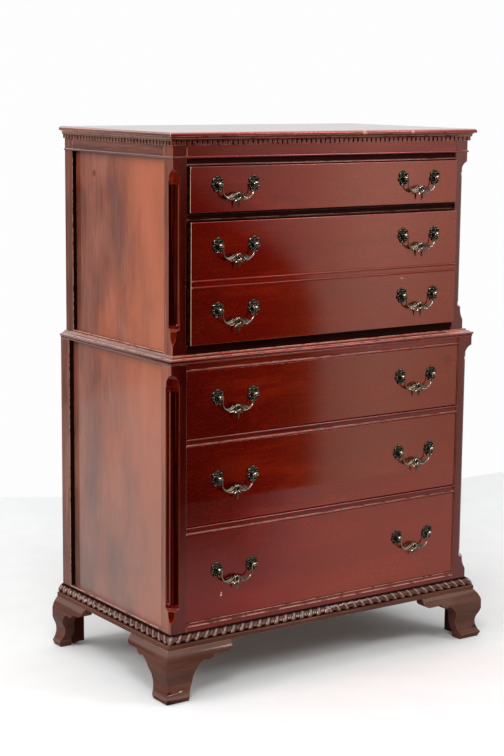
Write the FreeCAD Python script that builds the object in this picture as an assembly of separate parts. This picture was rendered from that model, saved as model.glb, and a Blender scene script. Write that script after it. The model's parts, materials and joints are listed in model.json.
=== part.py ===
import FreeCAD, Part
import math
import os

# A chest on chest: an upper stage of two drawers stands in a moulded waist on a lower stage of three.
# Both have fluted, chamfered corners. The cornice has dentils, the base moulding is a plain convex
# run, and the chest stands on four ogee bracket feet.
# Millimetres, +z up, the front towards -y. The origin is on the floor, under the middle of the
# overall outline. Pieces of one assembly that are glued or seated touch face to face.

V = FreeCAD.Vector

# ---- driving sizes: the two stages -------------------------------------------------------------
UPPER_WIDTH = 907.0
UPPER_DEPTH = 518.0
UPPER_POST = 39.0
UPPER_PANEL_RECESS = 12.0
LOWER_WIDTH = 940.0
LOWER_DEPTH = 538.0
LOWER_POST = 44.0
LOWER_PANEL_RECESS = 14.0

# ---- heights, from the floor up ----------------------------------------------------------------
FOOT_HEIGHT = 131.0
BASE_FRAME_HEIGHT = 11.0
LOWER_BOTTOM_RAIL = 42.0
OPENING_5 = 220.5
LOWER_RAIL = 18.5
OPENING_4 = 198.5
OPENING_3 = 164.5
LOWER_TOP_RAIL = 18.0
LOWER_TOP_THICK = 12.0
UPPER_BOTTOM_RAIL = 28.5
OPENING_2 = 295.5
UPPER_RAIL = 18.5
OPENING_1 = 111.5
UPPER_TOP_RAIL = 17.5
FRIEZE_HEIGHT = 45.0
TOP_THICK = 16.0

# ---- frame joinery ------------------------------------------------------------------------------
RAIL_RECESS = 4.0            # the drawer rails stand this far behind the faces of the posts
RAIL_DEPTH = 60.0            # front to back
RAIL_BEAD = 3.4              # width of the bead worked on the edge of a rail
BEAD_PROUD = 0.5             # how far that bead stands out of the posts
BOTTOM_RAIL_STEP = 8.0       # height of the set-back strip along the top of the lowest rail
TENON_LENGTH = 12.0
TENON_SHOULDER = 2.0         # above and below the tenon of a drawer rail
TENON_SETBACK = 6.0          # from the face of the rail to its tenon
TENON_THICK = 14.0
SIDE_RAIL_THICK = 28.0
BACK_RAIL_THICK = 22.0
FRIEZE_THICK = 22.0
SIDE_LEDGE = 4.0             # the side bottom rails show this much above the mouldings
PANEL_THICK = 8.0
GROOVE_DEPTH = 6.0
PANEL_PLAY = 0.5             # left at the bottom of a panel groove
RUNNER_WIDTH = 22.0
RUNNER_HEIGHT = 18.5
GUIDE_LIP = 12.0             # how far a guide stands above its runner
STOP_WIDTH = 34.0
STOP_LENGTH = 28.0
STOP_HEIGHT = 5.0
STOP_X = 180.0
BOTTOM_BOARD_THICK = 8.0
BOTTOM_BOARD_REBATE = 10.0
BACK_THICK = 8.0
BACK_REBATE = 10.0           # how far the back planks lap onto the back posts
BACK_PLANK = 150.0           # about this wide
BACK_PLANK_GAP = 0.6
CASE_SCREW_SIDE_INSET = 115.0    # from the edges of the upper bottom board
CASE_SCREW_END_INSET = 40.0
SCREW_RADIUS = 2.0
SCREW_HEAD_RADIUS = 4.0
SCREW_HEAD_HEIGHT = 2.5
SCREW_TIP_COVER = 3.0        # wood left under the tip of a case screw

# ---- chamfered and fluted corners ---------------------------------------------------------------
UPPER_CHAMFER = 19.5         # along each face of the post
LOWER_CHAMFER = 24.0
CHAMFER_HEAD_GAP = 23.5      # from the foot of the frieze down to the chamfer's point
LOWER_CHAMFER_HEAD_GAP = 22.0    # from the head of the lower stage
CHAMFER_FOOT_GAP = 23.0      # from the moulding at the foot up to the chamfer's point
LOWER_CHAMFER_FOOT_GAP = 24.5
SCOOP_LENGTH = 27.5
LOWER_SCOOP_LENGTH = 30.5
SCOOP_SHARE = 0.87           # of the full depth, where the scoop meets its ledge
TONGUE_LENGTH = 39.0
LOWER_TONGUE_LENGTH = 38.0
TONGUE_SHARE = 0.49          # of the full depth, at the foot of the sloping ledge
TONGUE_LEDGE_FALL = 5.5      # height of that ledge
HOLLOW_BEND = (0.86, 0.40)   # how deep a hollow is, and how far along it from its point
FLUTE_RADIUS = 0.172         # shares of the chamfer's width on the post
FLUTE_SPACING = 0.41
FLUTE_END_GAP = 9.0          # from a ledge to the round end of a flute
FLUTES = (-1, 0, 1)

# ---- cornice, waist and base mouldings ----------------------------------------------------------
TOP_NOSE = 17.0              # projections are beyond the faces of their own stage
TOP_LIP = 11.0
TOP_NOSE_LOW = 6.0           # height of the cove under the nose
TOP_NOSE_HIGH = 10.5
COVE_BEND = (0.33, 0.67)     # middle of the cove's arc: shares of its reach and height
CROWN_BEND = (0.25, 0.67)    # the same for the rounded upper edge
CORNICE_FILLET = 8.0
CORNICE_FILLET_HEIGHT = 4.0
DENTIL_HEIGHT = 10.5
DENTIL_PROUD = 5.0
DENTIL_PITCH = 14.5
DENTIL_GAP = 5.2
DENTIL_BACKING = 1.0
ASTRAGAL_HEIGHT = 5.5
ASTRAGAL_PROUD = 3.0
WAIST_HEIGHT = 20.5
WAIST_NOSE = 3.5             # the waist moulding overhangs the lower stage by this much
WAIST_NOSE_HEIGHT = 7.0
WAIST_NOSE_FLOOR = 5.5       # from the underside up to the torus
WAIST_STEP = -2.5
WAIST_FILLET = -11.5
WAIST_FILLET_HEIGHT = 1.5
WAIST_CYMA_BEND = (0.67, 0.33)   # shares of half the cyma's reach and height, at the middle of each arc
WAIST_QUIRK = -0.5           # projection of the quirk between the torus and the lower bead
WAIST_QUIRK_HEIGHT = 1.0
WAIST_BEAD = 1.5
TOP_BOARD_SET_IN = 8.0       # the lower top board stands in from the faces of the lower stage
GADROON_HEIGHT = 21.5
GADROON_PROUD = 15.0
GADROON_TOP = 2.0
GADROON_BELLY = 11.5         # projection at the middle of the round
GADROON_BELLY_HEIGHT = 13.0
BASE_FRAME_PROUD = 17.4
BASE_FRAME_WIDTH = 60.0      # measured in from the faces of the lower stage

# ---- ogee bracket feet --------------------------------------------------------------------------
FOOT_BULGE = 33.0            # projections beyond the faces of the lower stage
FOOT_HEAD = 17.0
FOOT_WAIST = 22.0
FOOT_TOE = 33.0
FOOT_SOLE = 27.0
FOOT_INSIDE = 6.0            # the inner face of the brackets, in from the faces of the stage
FOOT_BULGE_AT = 0.78         # shares of the foot's height
FOOT_SWELL_AT = 0.49
FOOT_WAIST_AT = 0.30
TOE_NOSE = 13.0
FRONT_WING = 163.0           # length of a bracket from the corner of the stage
SIDE_WING = 157.0
BACK_WING = 147.0
REAR_BRACKET = 130.0
REAR_BRACKET_THICK = 18.0
BRACKET_NOSE = 13.0          # height of the blunt end of a bracket
BRACKET_LEG = 35.0           # width of the leg at the floor
BRACKET_ANKLE = 50.0         # width of the leg at mid height
BRACKET_CUSP = 80.0          # where the curve of the leg ends
BRACKET_SCROLL = 26.0        # from the cusp to where the lobe begins
CUSP_AT = 0.76               # shares of the foot's height
ANKLE_AT = 0.40
TOE_BLOCK_AT = 0.115
LOBE_AT = 0.82
LEG_BEND = (0.55, 0.42)      # shares of the leg's gain in width and in height
HOLLOW_AT = (0.25, 0.67)     # middle of the hollow over the ankle, as shares of its run and rise
SCROLL_SAG = 2.6             # how far the scroll hangs below the cusp
NOSE_CURL = 17.0
NOSE_BEND = 4.25             # from the end of a bracket back to the middle of its curled nose
GLUE_BLOCK = 30.0
GLUE_BLOCK_CLEAR = 12.0      # from the floor
GLUE_STRIP = 16.0            # small blocks under the base frame, square section
GLUE_STRIP_LENGTH = 44.0

# ---- drawers --------------------------------------------------------------------------------------
FRONT_THICK = 20.0
FRONT_ROUND = 1.5
FRONT_GAP = 1.5              # above and below a front
UPPER_SIDE_GAP = 4.5         # beside a front
LOWER_SIDE_GAP = 1.7
RUN_CLEARANCE = 0.3          # drawer side over runner, and front behind stop
DRAWER_SIDE = 12.0
DRAWER_BACK = 12.0
DRAWER_SIDE_DROP = 5.0       # the sides stop this far under the top of the front
DRAWER_BACK_CLEAR = 15.0     # closed drawer to back planks
BOTTOM_THICK = 6.0
BOTTOM_UP = 8.0              # under the drawer bottom
DOVETAIL_LAP = 10.0          # wood left in front of the half-blind dovetails
DOVETAIL_PITCH = 36.0
DOVETAIL_SHARE = 0.5         # of the pitch, at the root of a tail
DOVETAIL_FLARE = 2.0         # on each side, at the tip
CLOSED_RECESS = 4.0
DIVIDE_BEAD = 4.0
DIVIDE_BEAD_PROUD = 3.0
DIVIDE_HEIGHTS = (140.0, 155.0)   # above the floor of the opening
DRAWER_1_AJAR = 14.0         # how far each drawer stands out from its closed place
DRAWER_2_AJAR = 18.0

# ---- pulls ----------------------------------------------------------------------------------------
PULL_X = 283.0
PULL_BORING = 104.0
PULL_HEIGHTS_1 = (68.0,)     # above the floor of each opening
PULL_HEIGHTS_2 = (83.0, 237.0)
PULL_HEIGHTS_3 = (95.0,)
PULL_HEIGHTS_4 = (112.0,)
PULL_HEIGHTS_5 = (123.0,)
ROSETTE_WIDTH = 37.0
ROSETTE_HEIGHT = 41.0
ROSETTE_LOBES = 7
ROSETTE_LOBE = 5.9           # radius
ROSETTE_DISC = 11.0
ROSETTE_THICK = 1.6
PIERCING = 1.9
POST_RADIUS = 2.8
POST_HOLE_PLAY = 0.2
COLLAR_RADIUS = 6.0
COLLAR_THICK = 1.8
BALL_RADIUS = 5.5
BALL_OUT = 12.0              # centre of the ball, out from the drawer front
NUT_RADIUS = 5.2
NUT_THICK = 4.0
NUT_SIDES = 6
THREAD_OVER = 2.0            # end of the post behind the nut
BAIL_PIN = 2.0               # radius
BAIL_PIN_PLAY = 0.05
BAIL_PIN_HOLE = 4.5          # depth in the ball
BAIL_PIN_END_PLAY = 0.4
BAIL_ROD = 2.2
BAIL_ELBOW = 4.0
BAIL_ARM = 10.0              # half width lost from the pin hole to the arm
BAIL_DROP = 29.0
BAIL_SWEEP = 17.0            # radius of the lower bend
LEAF_RADIUS = 4.2
LEAF_LENGTH = 18.0
LEAF_LAP = 0.25              # share of a leaf's length that lies past the end of the bar
CARTOUCHE_RADIUS = 8.0
CARTOUCHE_THICK = 6.0
PENDANT_TOP_RADIUS = 5.0
PENDANT_TIP_RADIUS = 1.5
PENDANT_DROP = 56.0

# ---- places worked out from the sizes ------------------------------------------------------------
FOOT_REACH = max(FOOT_BULGE, FOOT_TOE)
BACK_Y = (LOWER_DEPTH + FOOT_REACH) / 2
LOWER_FOOT_Z = FOOT_HEIGHT + BASE_FRAME_HEIGHT
FLOOR_5 = LOWER_FOOT_Z + LOWER_BOTTOM_RAIL
FLOOR_4 = FLOOR_5 + OPENING_5 + LOWER_RAIL
FLOOR_3 = FLOOR_4 + OPENING_4 + LOWER_RAIL
LOWER_HEAD_Z = FLOOR_3 + OPENING_3 + LOWER_TOP_RAIL
UPPER_FOOT_Z = LOWER_HEAD_Z + LOWER_TOP_THICK
FLOOR_2 = UPPER_FOOT_Z + UPPER_BOTTOM_RAIL
FLOOR_1 = FLOOR_2 + OPENING_2 + UPPER_RAIL
FRIEZE_Z = FLOOR_1 + OPENING_1 + UPPER_TOP_RAIL
UPPER_HEAD_Z = FRIEZE_Z + FRIEZE_HEIGHT
WAIST_TOP_Z = LOWER_HEAD_Z + WAIST_HEIGHT
GADROON_TOP_Z = LOWER_FOOT_Z + GADROON_HEIGHT
BACK_INNER = BACK_Y - BACK_THICK
BACK_RAIL_FRONT = BACK_INNER - BACK_RAIL_THICK


class Stage:
    """One stage of the chest: the faces that its posts, panels and drawer openings share."""

    def __init__(self, width, depth, post, recess, foot, head):
        self.half = width / 2
        self.front = BACK_Y - depth
        self.post = post
        self.inner = self.half - post
        self.panel_out = self.half - recess
        self.panel_in = self.panel_out - PANEL_THICK
        self.foot = foot
        self.head = head
        self.rail_face = self.front + RAIL_RECESS
        self.rail_back = self.rail_face + RAIL_DEPTH
        self.post_back = self.front + post
        self.back_post_front = BACK_Y - post


UPPER = Stage(UPPER_WIDTH, UPPER_DEPTH, UPPER_POST, UPPER_PANEL_RECESS, UPPER_FOOT_Z, UPPER_HEAD_Z)
LOWER = Stage(LOWER_WIDTH, LOWER_DEPTH, LOWER_POST, LOWER_PANEL_RECESS, LOWER_FOOT_Z, LOWER_HEAD_Z)


class Drawer:
    """One drawer: its opening, its pulls, and where it stands at rest."""

    def __init__(self, stage, floor, height, side_gap, ajar, pull_heights):
        self.half = stage.inner - side_gap
        self.floor = floor
        self.height = height
        self.bottom = floor + FRONT_GAP
        self.top = floor + height - FRONT_GAP
        self.closed_face = stage.front + CLOSED_RECESS
        self.face = self.closed_face - ajar
        self.behind = self.face + FRONT_THICK
        self.side_bottom = floor + RUN_CLEARANCE
        self.side_top = self.top - DRAWER_SIDE_DROP
        self.panel_z = self.side_bottom + BOTTOM_UP
        self.panel_top = self.panel_z + BOTTOM_THICK
        self.end = BACK_INNER - DRAWER_BACK_CLEAR - ajar
        self.back_inner = self.end - DRAWER_BACK
        self.pulls = [(x, floor + h) for h in pull_heights for x in (-PULL_X, PULL_X)]


DRAWERS = (
    Drawer(UPPER, FLOOR_1, OPENING_1, UPPER_SIDE_GAP, DRAWER_1_AJAR, PULL_HEIGHTS_1),
    Drawer(UPPER, FLOOR_2, OPENING_2, UPPER_SIDE_GAP, DRAWER_2_AJAR, PULL_HEIGHTS_2),
    Drawer(LOWER, FLOOR_3, OPENING_3, LOWER_SIDE_GAP, 0.0, PULL_HEIGHTS_3),
    Drawer(LOWER, FLOOR_4, OPENING_4, LOWER_SIDE_GAP, 0.0, PULL_HEIGHTS_4),
    Drawer(LOWER, FLOOR_5, OPENING_5, LOWER_SIDE_GAP, 0.0, PULL_HEIGHTS_5),
)
DIVIDED_DRAWER = DRAWERS[1]


# ---- helpers --------------------------------------------------------------------------------------
def box(x0, x1, y0, y1, z0, z1):
    """A box between two corners."""
    return Part.makeBox(x1 - x0, y1 - y0, z1 - z0, V(x0, y0, z0))


def mirrored(shape):
    """The same shape on the other side of the chest."""
    return shape.mirror(V(0, 0, 0), V(1, 0, 0))


def both_sides(*shapes):
    """Each shape and its mirror image."""
    return [copy for shape in shapes for copy in (shape, mirrored(shape))]


def prism(steps, place, sweep):
    """A closed outline of straight steps (u, v) and arc steps ((mid), (end)), placed and extruded."""
    ends = [step[-1] if isinstance(step[0], tuple) else step for step in steps]
    start = place(*ends[-1])
    edges = []
    for step, end in zip(steps, ends):
        finish = place(*end)
        if isinstance(step[0], tuple):
            edges.append(Part.Arc(start, place(*step[0]), finish).toShape())
        else:
            edges.append(Part.LineSegment(start, finish).toShape())
        start = finish
    return Part.Face(Part.Wire(edges)).extrude(sweep)


def moved(steps, change):
    """The same outline steps with every point changed."""
    return [tuple(change(*point) for point in step) if isinstance(step[0], tuple) else change(*step)
            for step in steps]


def union(shapes):
    """One shape from several that touch or overlap."""
    return shapes[0].multiFuse(shapes[1:]).removeSplitter()


def cut_all(shape, tools):
    """A shape less every tool."""
    return shape.cut(Part.makeCompound(tools))


def moulding(stage, steps, reach, inset):
    """Three mitred sticks round the front and sides of a stage; steps are (projection, z)."""
    outline = [point for step in steps for point in (step if isinstance(step[0], tuple) else (step,))]
    low = min(point[1] for point in outline)
    high = max(point[1] for point in outline)
    half, front = stage.half, stage.front
    tip, root = (half + reach, front - reach), (half - inset, front + inset)

    def wedge(corners):
        points = [V(x, y, low) for x, y in corners]
        return Part.Face(Part.makePolygon(points + points[:1])).extrude(V(0, 0, high - low))

    front_run = prism(steps, lambda p, z: V(-tip[0], front - p, z), V(2 * tip[0], 0, 0))
    mitre = wedge((tip, root, (-root[0], root[1]), (-tip[0], tip[1])))
    side_run = prism(steps, lambda p, z: V(half + p, tip[1], z), V(0, BACK_Y - tip[1], 0))
    side_mitre = wedge((tip, (tip[0], BACK_Y), (root[0], BACK_Y), root))
    return front_run.common(mitre).Solids + both_sides(*side_run.common(side_mitre).Solids)


# ---- posts ----------------------------------------------------------------------------------------
def corner_cut(stage, leg, head, scoop, foot, tongue):
    """What is cut from the right front post: the stopped chamfer and its three flutes.

    In plan the cut runs across the corner; its depth is measured along the diagonal from the arris.
    """
    full = leg / math.sqrt(2)
    inward = V(-1, 1, 0).normalize()
    across = V(1, 1, 0).normalize()
    arris = V(stage.half, stage.front, 0)
    head_ledge, foot_ledge = head - scoop, foot + tongue

    def place(depth, z):
        return arris + inward * depth - across * leg + V(0, 0, z)

    outside = -leg
    scoop_depth, tongue_depth = full * SCOOP_SHARE, full * TONGUE_SHARE
    bend_depth, bend_at = HOLLOW_BEND
    steps = [
        (outside, head),
        (0.0, head),
        ((scoop_depth * bend_depth, head - scoop * bend_at), (scoop_depth, head_ledge)),
        (full, head_ledge),
        (full, foot_ledge),
        (tongue_depth, foot_ledge - TONGUE_LEDGE_FALL),
        ((tongue_depth * bend_depth, foot + tongue * bend_at), (0.0, foot)),
        (outside, foot),
    ]
    tools = [prism(steps, place, across * 2 * leg)]
    radius = leg * FLUTE_RADIUS
    low = foot_ledge + FLUTE_END_GAP + radius
    high = head_ledge - FLUTE_END_GAP - radius
    for step in FLUTES:
        axis = arris + inward * full + across * step * leg * FLUTE_SPACING
        tools.append(Part.makeCylinder(radius, high - low, axis + V(0, 0, low)))
        for end in (low, high):
            tools.append(Part.makeSphere(radius, axis + V(0, 0, end)))
    return tools


def panel_space(stage, bottom, top):
    """The right-hand panel grooves: the room that the panel takes and its play."""
    return box(stage.panel_in, stage.panel_out, stage.post_back - GROOVE_DEPTH,
               stage.back_post_front + GROOVE_DEPTH, bottom, top)


def front_posts(stage, cuts, joints, groove):
    """The two front posts with their fluted corners, mortises and panel grooves."""
    blank = box(stage.inner, stage.half, stage.front, stage.post_back, stage.foot, stage.head)
    post = cut_all(blank, cuts + [groove] + joints)
    return both_sides(*post.Solids)


def back_posts(stage, joints, groove):
    """The two back posts, rebated for the back planks."""
    blank = box(stage.inner, stage.half, stage.back_post_front, BACK_Y, stage.foot, stage.head)
    rebate = box(stage.inner, stage.inner + BACK_REBATE, BACK_INNER, BACK_Y, stage.foot, stage.head)
    post = cut_all(blank, [rebate, groove] + joints)
    return both_sides(*post.Solids)


# ---- rails ----------------------------------------------------------------------------------------
def cross_rail(stage, face, thick, z0, z1, tenon_from, tenon_thick, shoulder):
    """A rail from side to side with a stub tenon in each post."""
    reach = stage.inner + TENON_LENGTH
    body = box(-stage.inner, stage.inner, face, face + thick, z0, z1)
    tenon = box(-reach, reach, tenon_from, tenon_from + tenon_thick, z0 + shoulder, z1 - shoulder)
    return union([body, tenon])


def rail_bead(stage, z):
    """A bead along the face of a drawer rail, centred at height z."""
    radius = RAIL_BEAD / 2
    crown = stage.front - BEAD_PROUD + radius
    strip = box(-stage.inner, stage.inner, crown, stage.rail_face, z - radius, z + radius)
    roll = Part.makeCylinder(radius, 2 * stage.inner, V(-stage.inner, crown, z), V(1, 0, 0))
    return [strip, roll]


def drawer_rail(stage, z0, z1, bead_low, bead_high):
    """A rail between two drawers, with a bead on either edge where it has one."""
    tenon_from = stage.rail_face + TENON_SETBACK
    rail = cross_rail(stage, stage.rail_face, RAIL_DEPTH, z0, z1, tenon_from, TENON_THICK, TENON_SHOULDER)
    beads = []
    if bead_low:
        beads += rail_bead(stage, z0 + RAIL_BEAD / 2)
    if bead_high:
        beads += rail_bead(stage, z1 - RAIL_BEAD / 2)
    return union([rail] + beads) if beads else rail


def side_rail(stage, outer, thick, z0, z1):
    """The right-hand rail from front post to back post, with stub tenons."""
    inner = outer - thick
    body = box(inner, outer, stage.post_back, stage.back_post_front, z0, z1)
    tenon = box(inner + TENON_SHOULDER, outer - TENON_SHOULDER, stage.post_back - TENON_LENGTH,
                stage.back_post_front + TENON_LENGTH, z0 + TENON_SHOULDER, z1 - TENON_SHOULDER)
    return union([body, tenon])


def back_rail(stage, z0, z1):
    """A rail between the back posts, in front of the back planks."""
    tenon_from = BACK_RAIL_FRONT + TENON_SHOULDER
    return cross_rail(stage, BACK_RAIL_FRONT, BACK_RAIL_THICK, z0, z1, tenon_from,
                      BACK_RAIL_THICK - 2 * TENON_SHOULDER, TENON_SHOULDER)


# ---- what carries the drawers ---------------------------------------------------------------------
def runner(stage, top, height, end):
    """A runner or kicker along each side, from the drawer rail to the back."""
    return both_sides(box(stage.inner - RUNNER_WIDTH, stage.inner, stage.rail_back, end, top - height, top))


def guide(stage, bottom, top):
    """A guide beside the drawer, between the posts and against the side panel."""
    return both_sides(box(stage.inner, stage.panel_in, stage.post_back, stage.back_post_front, bottom, top))


def stops(drawer):
    """Two blocks on the rail, which the closed drawer's front meets."""
    face = drawer.closed_face + FRONT_THICK + RUN_CLEARANCE
    return both_sides(box(STOP_X, STOP_X + STOP_WIDTH, face, face + STOP_LENGTH,
                          drawer.floor, drawer.floor + STOP_HEIGHT))


def back_planks(stage):
    """Horizontal planks that close the back, lapped into the rebates of the back posts."""
    reach = stage.inner + BACK_REBATE
    height = stage.head - stage.foot
    count = max(1, round(height / BACK_PLANK))
    pitch = height / count
    planks = []
    for i in range(count):
        low = stage.foot + i * pitch
        high = low + pitch - (BACK_PLANK_GAP if i < count - 1 else 0.0)
        planks.append(box(-reach, reach, BACK_INNER, BACK_Y, low, high))
    return planks


# ---- mouldings ------------------------------------------------------------------------------------
def top_board():
    """The top, with its edge moulded on the front and both sides."""
    low, high = UPPER_HEAD_Z, UPPER_HEAD_Z + TOP_THICK
    nose_low, nose_high = low + TOP_NOSE_LOW, low + TOP_NOSE_HIGH
    cove = (CORNICE_FILLET + (TOP_NOSE - CORNICE_FILLET) * COVE_BEND[0], low + TOP_NOSE_LOW * COVE_BEND[1])
    crown = (TOP_NOSE - (TOP_NOSE - TOP_LIP) * CROWN_BEND[0], nose_high + (high - nose_high) * CROWN_BEND[1])
    upward = [(cove, (TOP_NOSE, nose_low)), (TOP_NOSE, nose_high), (crown, (TOP_LIP, high))]
    downward = [(crown, (TOP_NOSE, nose_high)), (TOP_NOSE, nose_low), (cove, (CORNICE_FILLET, low))]
    half, front = UPPER.half, UPPER.front
    across = [(half + CORNICE_FILLET, low)] + moved(upward, lambda p, z: (half + p, z))
    across += [(-half - TOP_LIP, high)] + moved(downward, lambda p, z: (-half - p, z))
    lengthwise = [(BACK_Y, low), (BACK_Y, high), (front - TOP_LIP, high)]
    lengthwise += moved(downward, lambda p, z: (front - p, z))
    reach = half + TOP_NOSE
    depth = BACK_Y - front + TOP_NOSE
    side_to_side = prism(across, lambda x, z: V(x, front - TOP_NOSE, z), V(0, depth, 0))
    front_to_back = prism(lengthwise, lambda y, z: V(-reach, y, z), V(2 * reach, 0, 0))
    return side_to_side.common(front_to_back).Solids


def dentils():
    """The dentil moulding: a capped strip on the front and each side, cut into teeth."""
    cap = UPPER_HEAD_Z - CORNICE_FILLET_HEIGHT
    low = cap - DENTIL_HEIGHT
    steps = [(0.0, low), (DENTIL_PROUD, low), (DENTIL_PROUD, cap), (CORNICE_FILLET, cap),
             (CORNICE_FILLET, UPPER_HEAD_Z), (0.0, UPPER_HEAD_Z)]
    front_strip, right_strip, left_strip = moulding(UPPER, steps, CORNICE_FILLET, 0.0)
    tooth = DENTIL_PITCH - DENTIL_GAP
    corner_x = UPPER.half + DENTIL_PROUD
    corner_y = UPPER.front - DENTIL_PROUD
    face_y = UPPER.front - DENTIL_BACKING
    face_x = UPPER.half + DENTIL_BACKING
    count = round((2 * corner_x - tooth) / DENTIL_PITCH)
    pitch = (2 * corner_x - tooth) / count
    gaps = [box(-corner_x + tooth + i * pitch, -corner_x + (i + 1) * pitch, corner_y, face_y, low, cap)
            for i in range(count)]
    side_count = int((BACK_Y - corner_y) / DENTIL_PITCH)
    side_gaps = [box(face_x, corner_x, corner_y + tooth + i * DENTIL_PITCH,
                     corner_y + (i + 1) * DENTIL_PITCH, low, cap) for i in range(side_count)]
    right = cut_all(right_strip, side_gaps)
    return cut_all(front_strip, gaps).Solids + both_sides(*right.Solids)


def astragal():
    """The half-round bead at the foot of the frieze."""
    steps = [((ASTRAGAL_PROUD, FRIEZE_Z + ASTRAGAL_HEIGHT / 2), (0.0, FRIEZE_Z + ASTRAGAL_HEIGHT)),
             (0.0, FRIEZE_Z)]
    return moulding(UPPER, steps, ASTRAGAL_PROUD, 0.0)


def waist():
    """The waist moulding, on the lower stage and round the foot of the upper."""
    low, high = LOWER_HEAD_Z, WAIST_TOP_Z
    seat = -TOP_BOARD_SET_IN
    set_back = max(UPPER.front - LOWER.front, LOWER.half - UPPER.half)
    torus_low = low + WAIST_NOSE_FLOOR
    torus_high = torus_low + WAIST_NOSE_HEIGHT
    shoulder = WAIST_NOSE - WAIST_NOSE_HEIGHT / 2
    fillet_low = high - WAIST_FILLET_HEIGHT
    middle = ((WAIST_STEP + WAIST_FILLET) / 2, (torus_high + fillet_low) / 2)
    out, up = WAIST_CYMA_BEND
    hollow = (middle[0] + (WAIST_STEP - middle[0]) * out, middle[1] - (middle[1] - torus_high) * up)
    round_over = (middle[0] - (middle[0] - WAIST_FILLET) * out, middle[1] + (fillet_low - middle[1]) * up)
    bead_high = torus_low - WAIST_QUIRK_HEIGHT
    steps = [
        (seat, low),
        (WAIST_QUIRK, low),
        ((WAIST_BEAD, (low + bead_high) / 2), (WAIST_QUIRK, bead_high)),
        (WAIST_QUIRK, torus_low),
        (shoulder, torus_low),
        ((WAIST_NOSE, (torus_low + torus_high) / 2), (shoulder, torus_high)),
        (WAIST_STEP, torus_high),
        (hollow, middle),
        (round_over, (WAIST_FILLET, fillet_low)),
        (WAIST_FILLET, high),
        (-set_back, high),
        (-set_back, UPPER_FOOT_Z),
        (seat, UPPER_FOOT_Z),
    ]
    upper_foot = box(-UPPER.half, UPPER.half, UPPER.front, BACK_Y, UPPER_FOOT_Z, high)
    sticks = moulding(LOWER, steps, WAIST_NOSE, set_back)
    return [solid for stick in sticks for solid in stick.cut(upper_foot).Solids]


def gadroon():
    """The convex base moulding round the foot of the lower stage."""
    belly = (GADROON_BELLY, LOWER_FOOT_Z + GADROON_BELLY_HEIGHT)
    steps = [(0.0, LOWER_FOOT_Z), (GADROON_PROUD, LOWER_FOOT_Z), (belly, (GADROON_TOP, GADROON_TOP_Z)),
             (0.0, GADROON_TOP_Z)]
    return moulding(LOWER, steps, GADROON_PROUD, 0.0)


def base_frame():
    """The flat frame under the lower stage, whose edge shows as a fillet under the base moulding."""
    steps = [(-BASE_FRAME_WIDTH, FOOT_HEIGHT), (BASE_FRAME_PROUD, FOOT_HEIGHT),
             (BASE_FRAME_PROUD, LOWER_FOOT_Z), (-BASE_FRAME_WIDTH, LOWER_FOOT_Z)]
    inner = LOWER.half - BASE_FRAME_WIDTH
    back = box(-inner, inner, BACK_Y - BASE_FRAME_WIDTH, BACK_Y, FOOT_HEIGHT, LOWER_FOOT_Z)
    return moulding(LOWER, steps, BASE_FRAME_PROUD, BASE_FRAME_WIDTH) + [back]


# ---- feet -----------------------------------------------------------------------------------------
def bracket_outline(length):
    """The sawn outline of a bracket, from its corner (0, floor) along its length."""
    cusp_z = FOOT_HEIGHT * CUSP_AT
    lobe_z = FOOT_HEIGHT * LOBE_AT
    nose_z = FOOT_HEIGHT - BRACKET_NOSE
    ankle = (BRACKET_ANKLE, FOOT_HEIGHT * ANKLE_AT)
    curl = length - NOSE_CURL
    lobe = BRACKET_CUSP + BRACKET_SCROLL
    toe_z = FOOT_HEIGHT * TOE_BLOCK_AT
    leg_bend = (BRACKET_LEG + (BRACKET_ANKLE - BRACKET_LEG) * LEG_BEND[0],
                toe_z + (ankle[1] - toe_z) * LEG_BEND[1])
    hollow = (BRACKET_ANKLE + (BRACKET_CUSP - BRACKET_ANKLE) * HOLLOW_AT[0],
              ankle[1] + (cusp_z - ankle[1]) * HOLLOW_AT[1])
    scroll = ((BRACKET_CUSP + lobe) / 2, cusp_z - SCROLL_SAG)
    nose_bend = (length - NOSE_BEND, (nose_z + lobe_z) / 2)
    return [
        (BRACKET_LEG, 0.0),
        (BRACKET_LEG, toe_z),
        (leg_bend, ankle),
        (hollow, (BRACKET_CUSP, cusp_z)),
        (scroll, (lobe, lobe_z)),
        (curl, lobe_z),
        (nose_bend, (length, nose_z)),
        (length, FOOT_HEIGHT),
        (-FOOT_REACH, FOOT_HEIGHT),
        (-FOOT_REACH, 0.0),
    ]


def foot_section():
    """The ogee section of a bracket: (projection, z) from the sole up and down the inner face."""
    swell = ((FOOT_BULGE + FOOT_WAIST) / 2, FOOT_HEIGHT * FOOT_SWELL_AT)
    waist_point = (FOOT_WAIST, FOOT_HEIGHT * FOOT_WAIST_AT)
    toe_bend = (FOOT_TOE, TOE_NOSE)
    flank = (FOOT_BULGE, FOOT_HEIGHT * FOOT_BULGE_AT)
    return [
        (FOOT_SOLE, 0.0),
        toe_bend,
        (waist_point, swell),
        (flank, (FOOT_HEAD, FOOT_HEIGHT)),
        (-FOOT_INSIDE, FOOT_HEIGHT),
        (-FOOT_INSIDE, 0.0),
    ]


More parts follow.
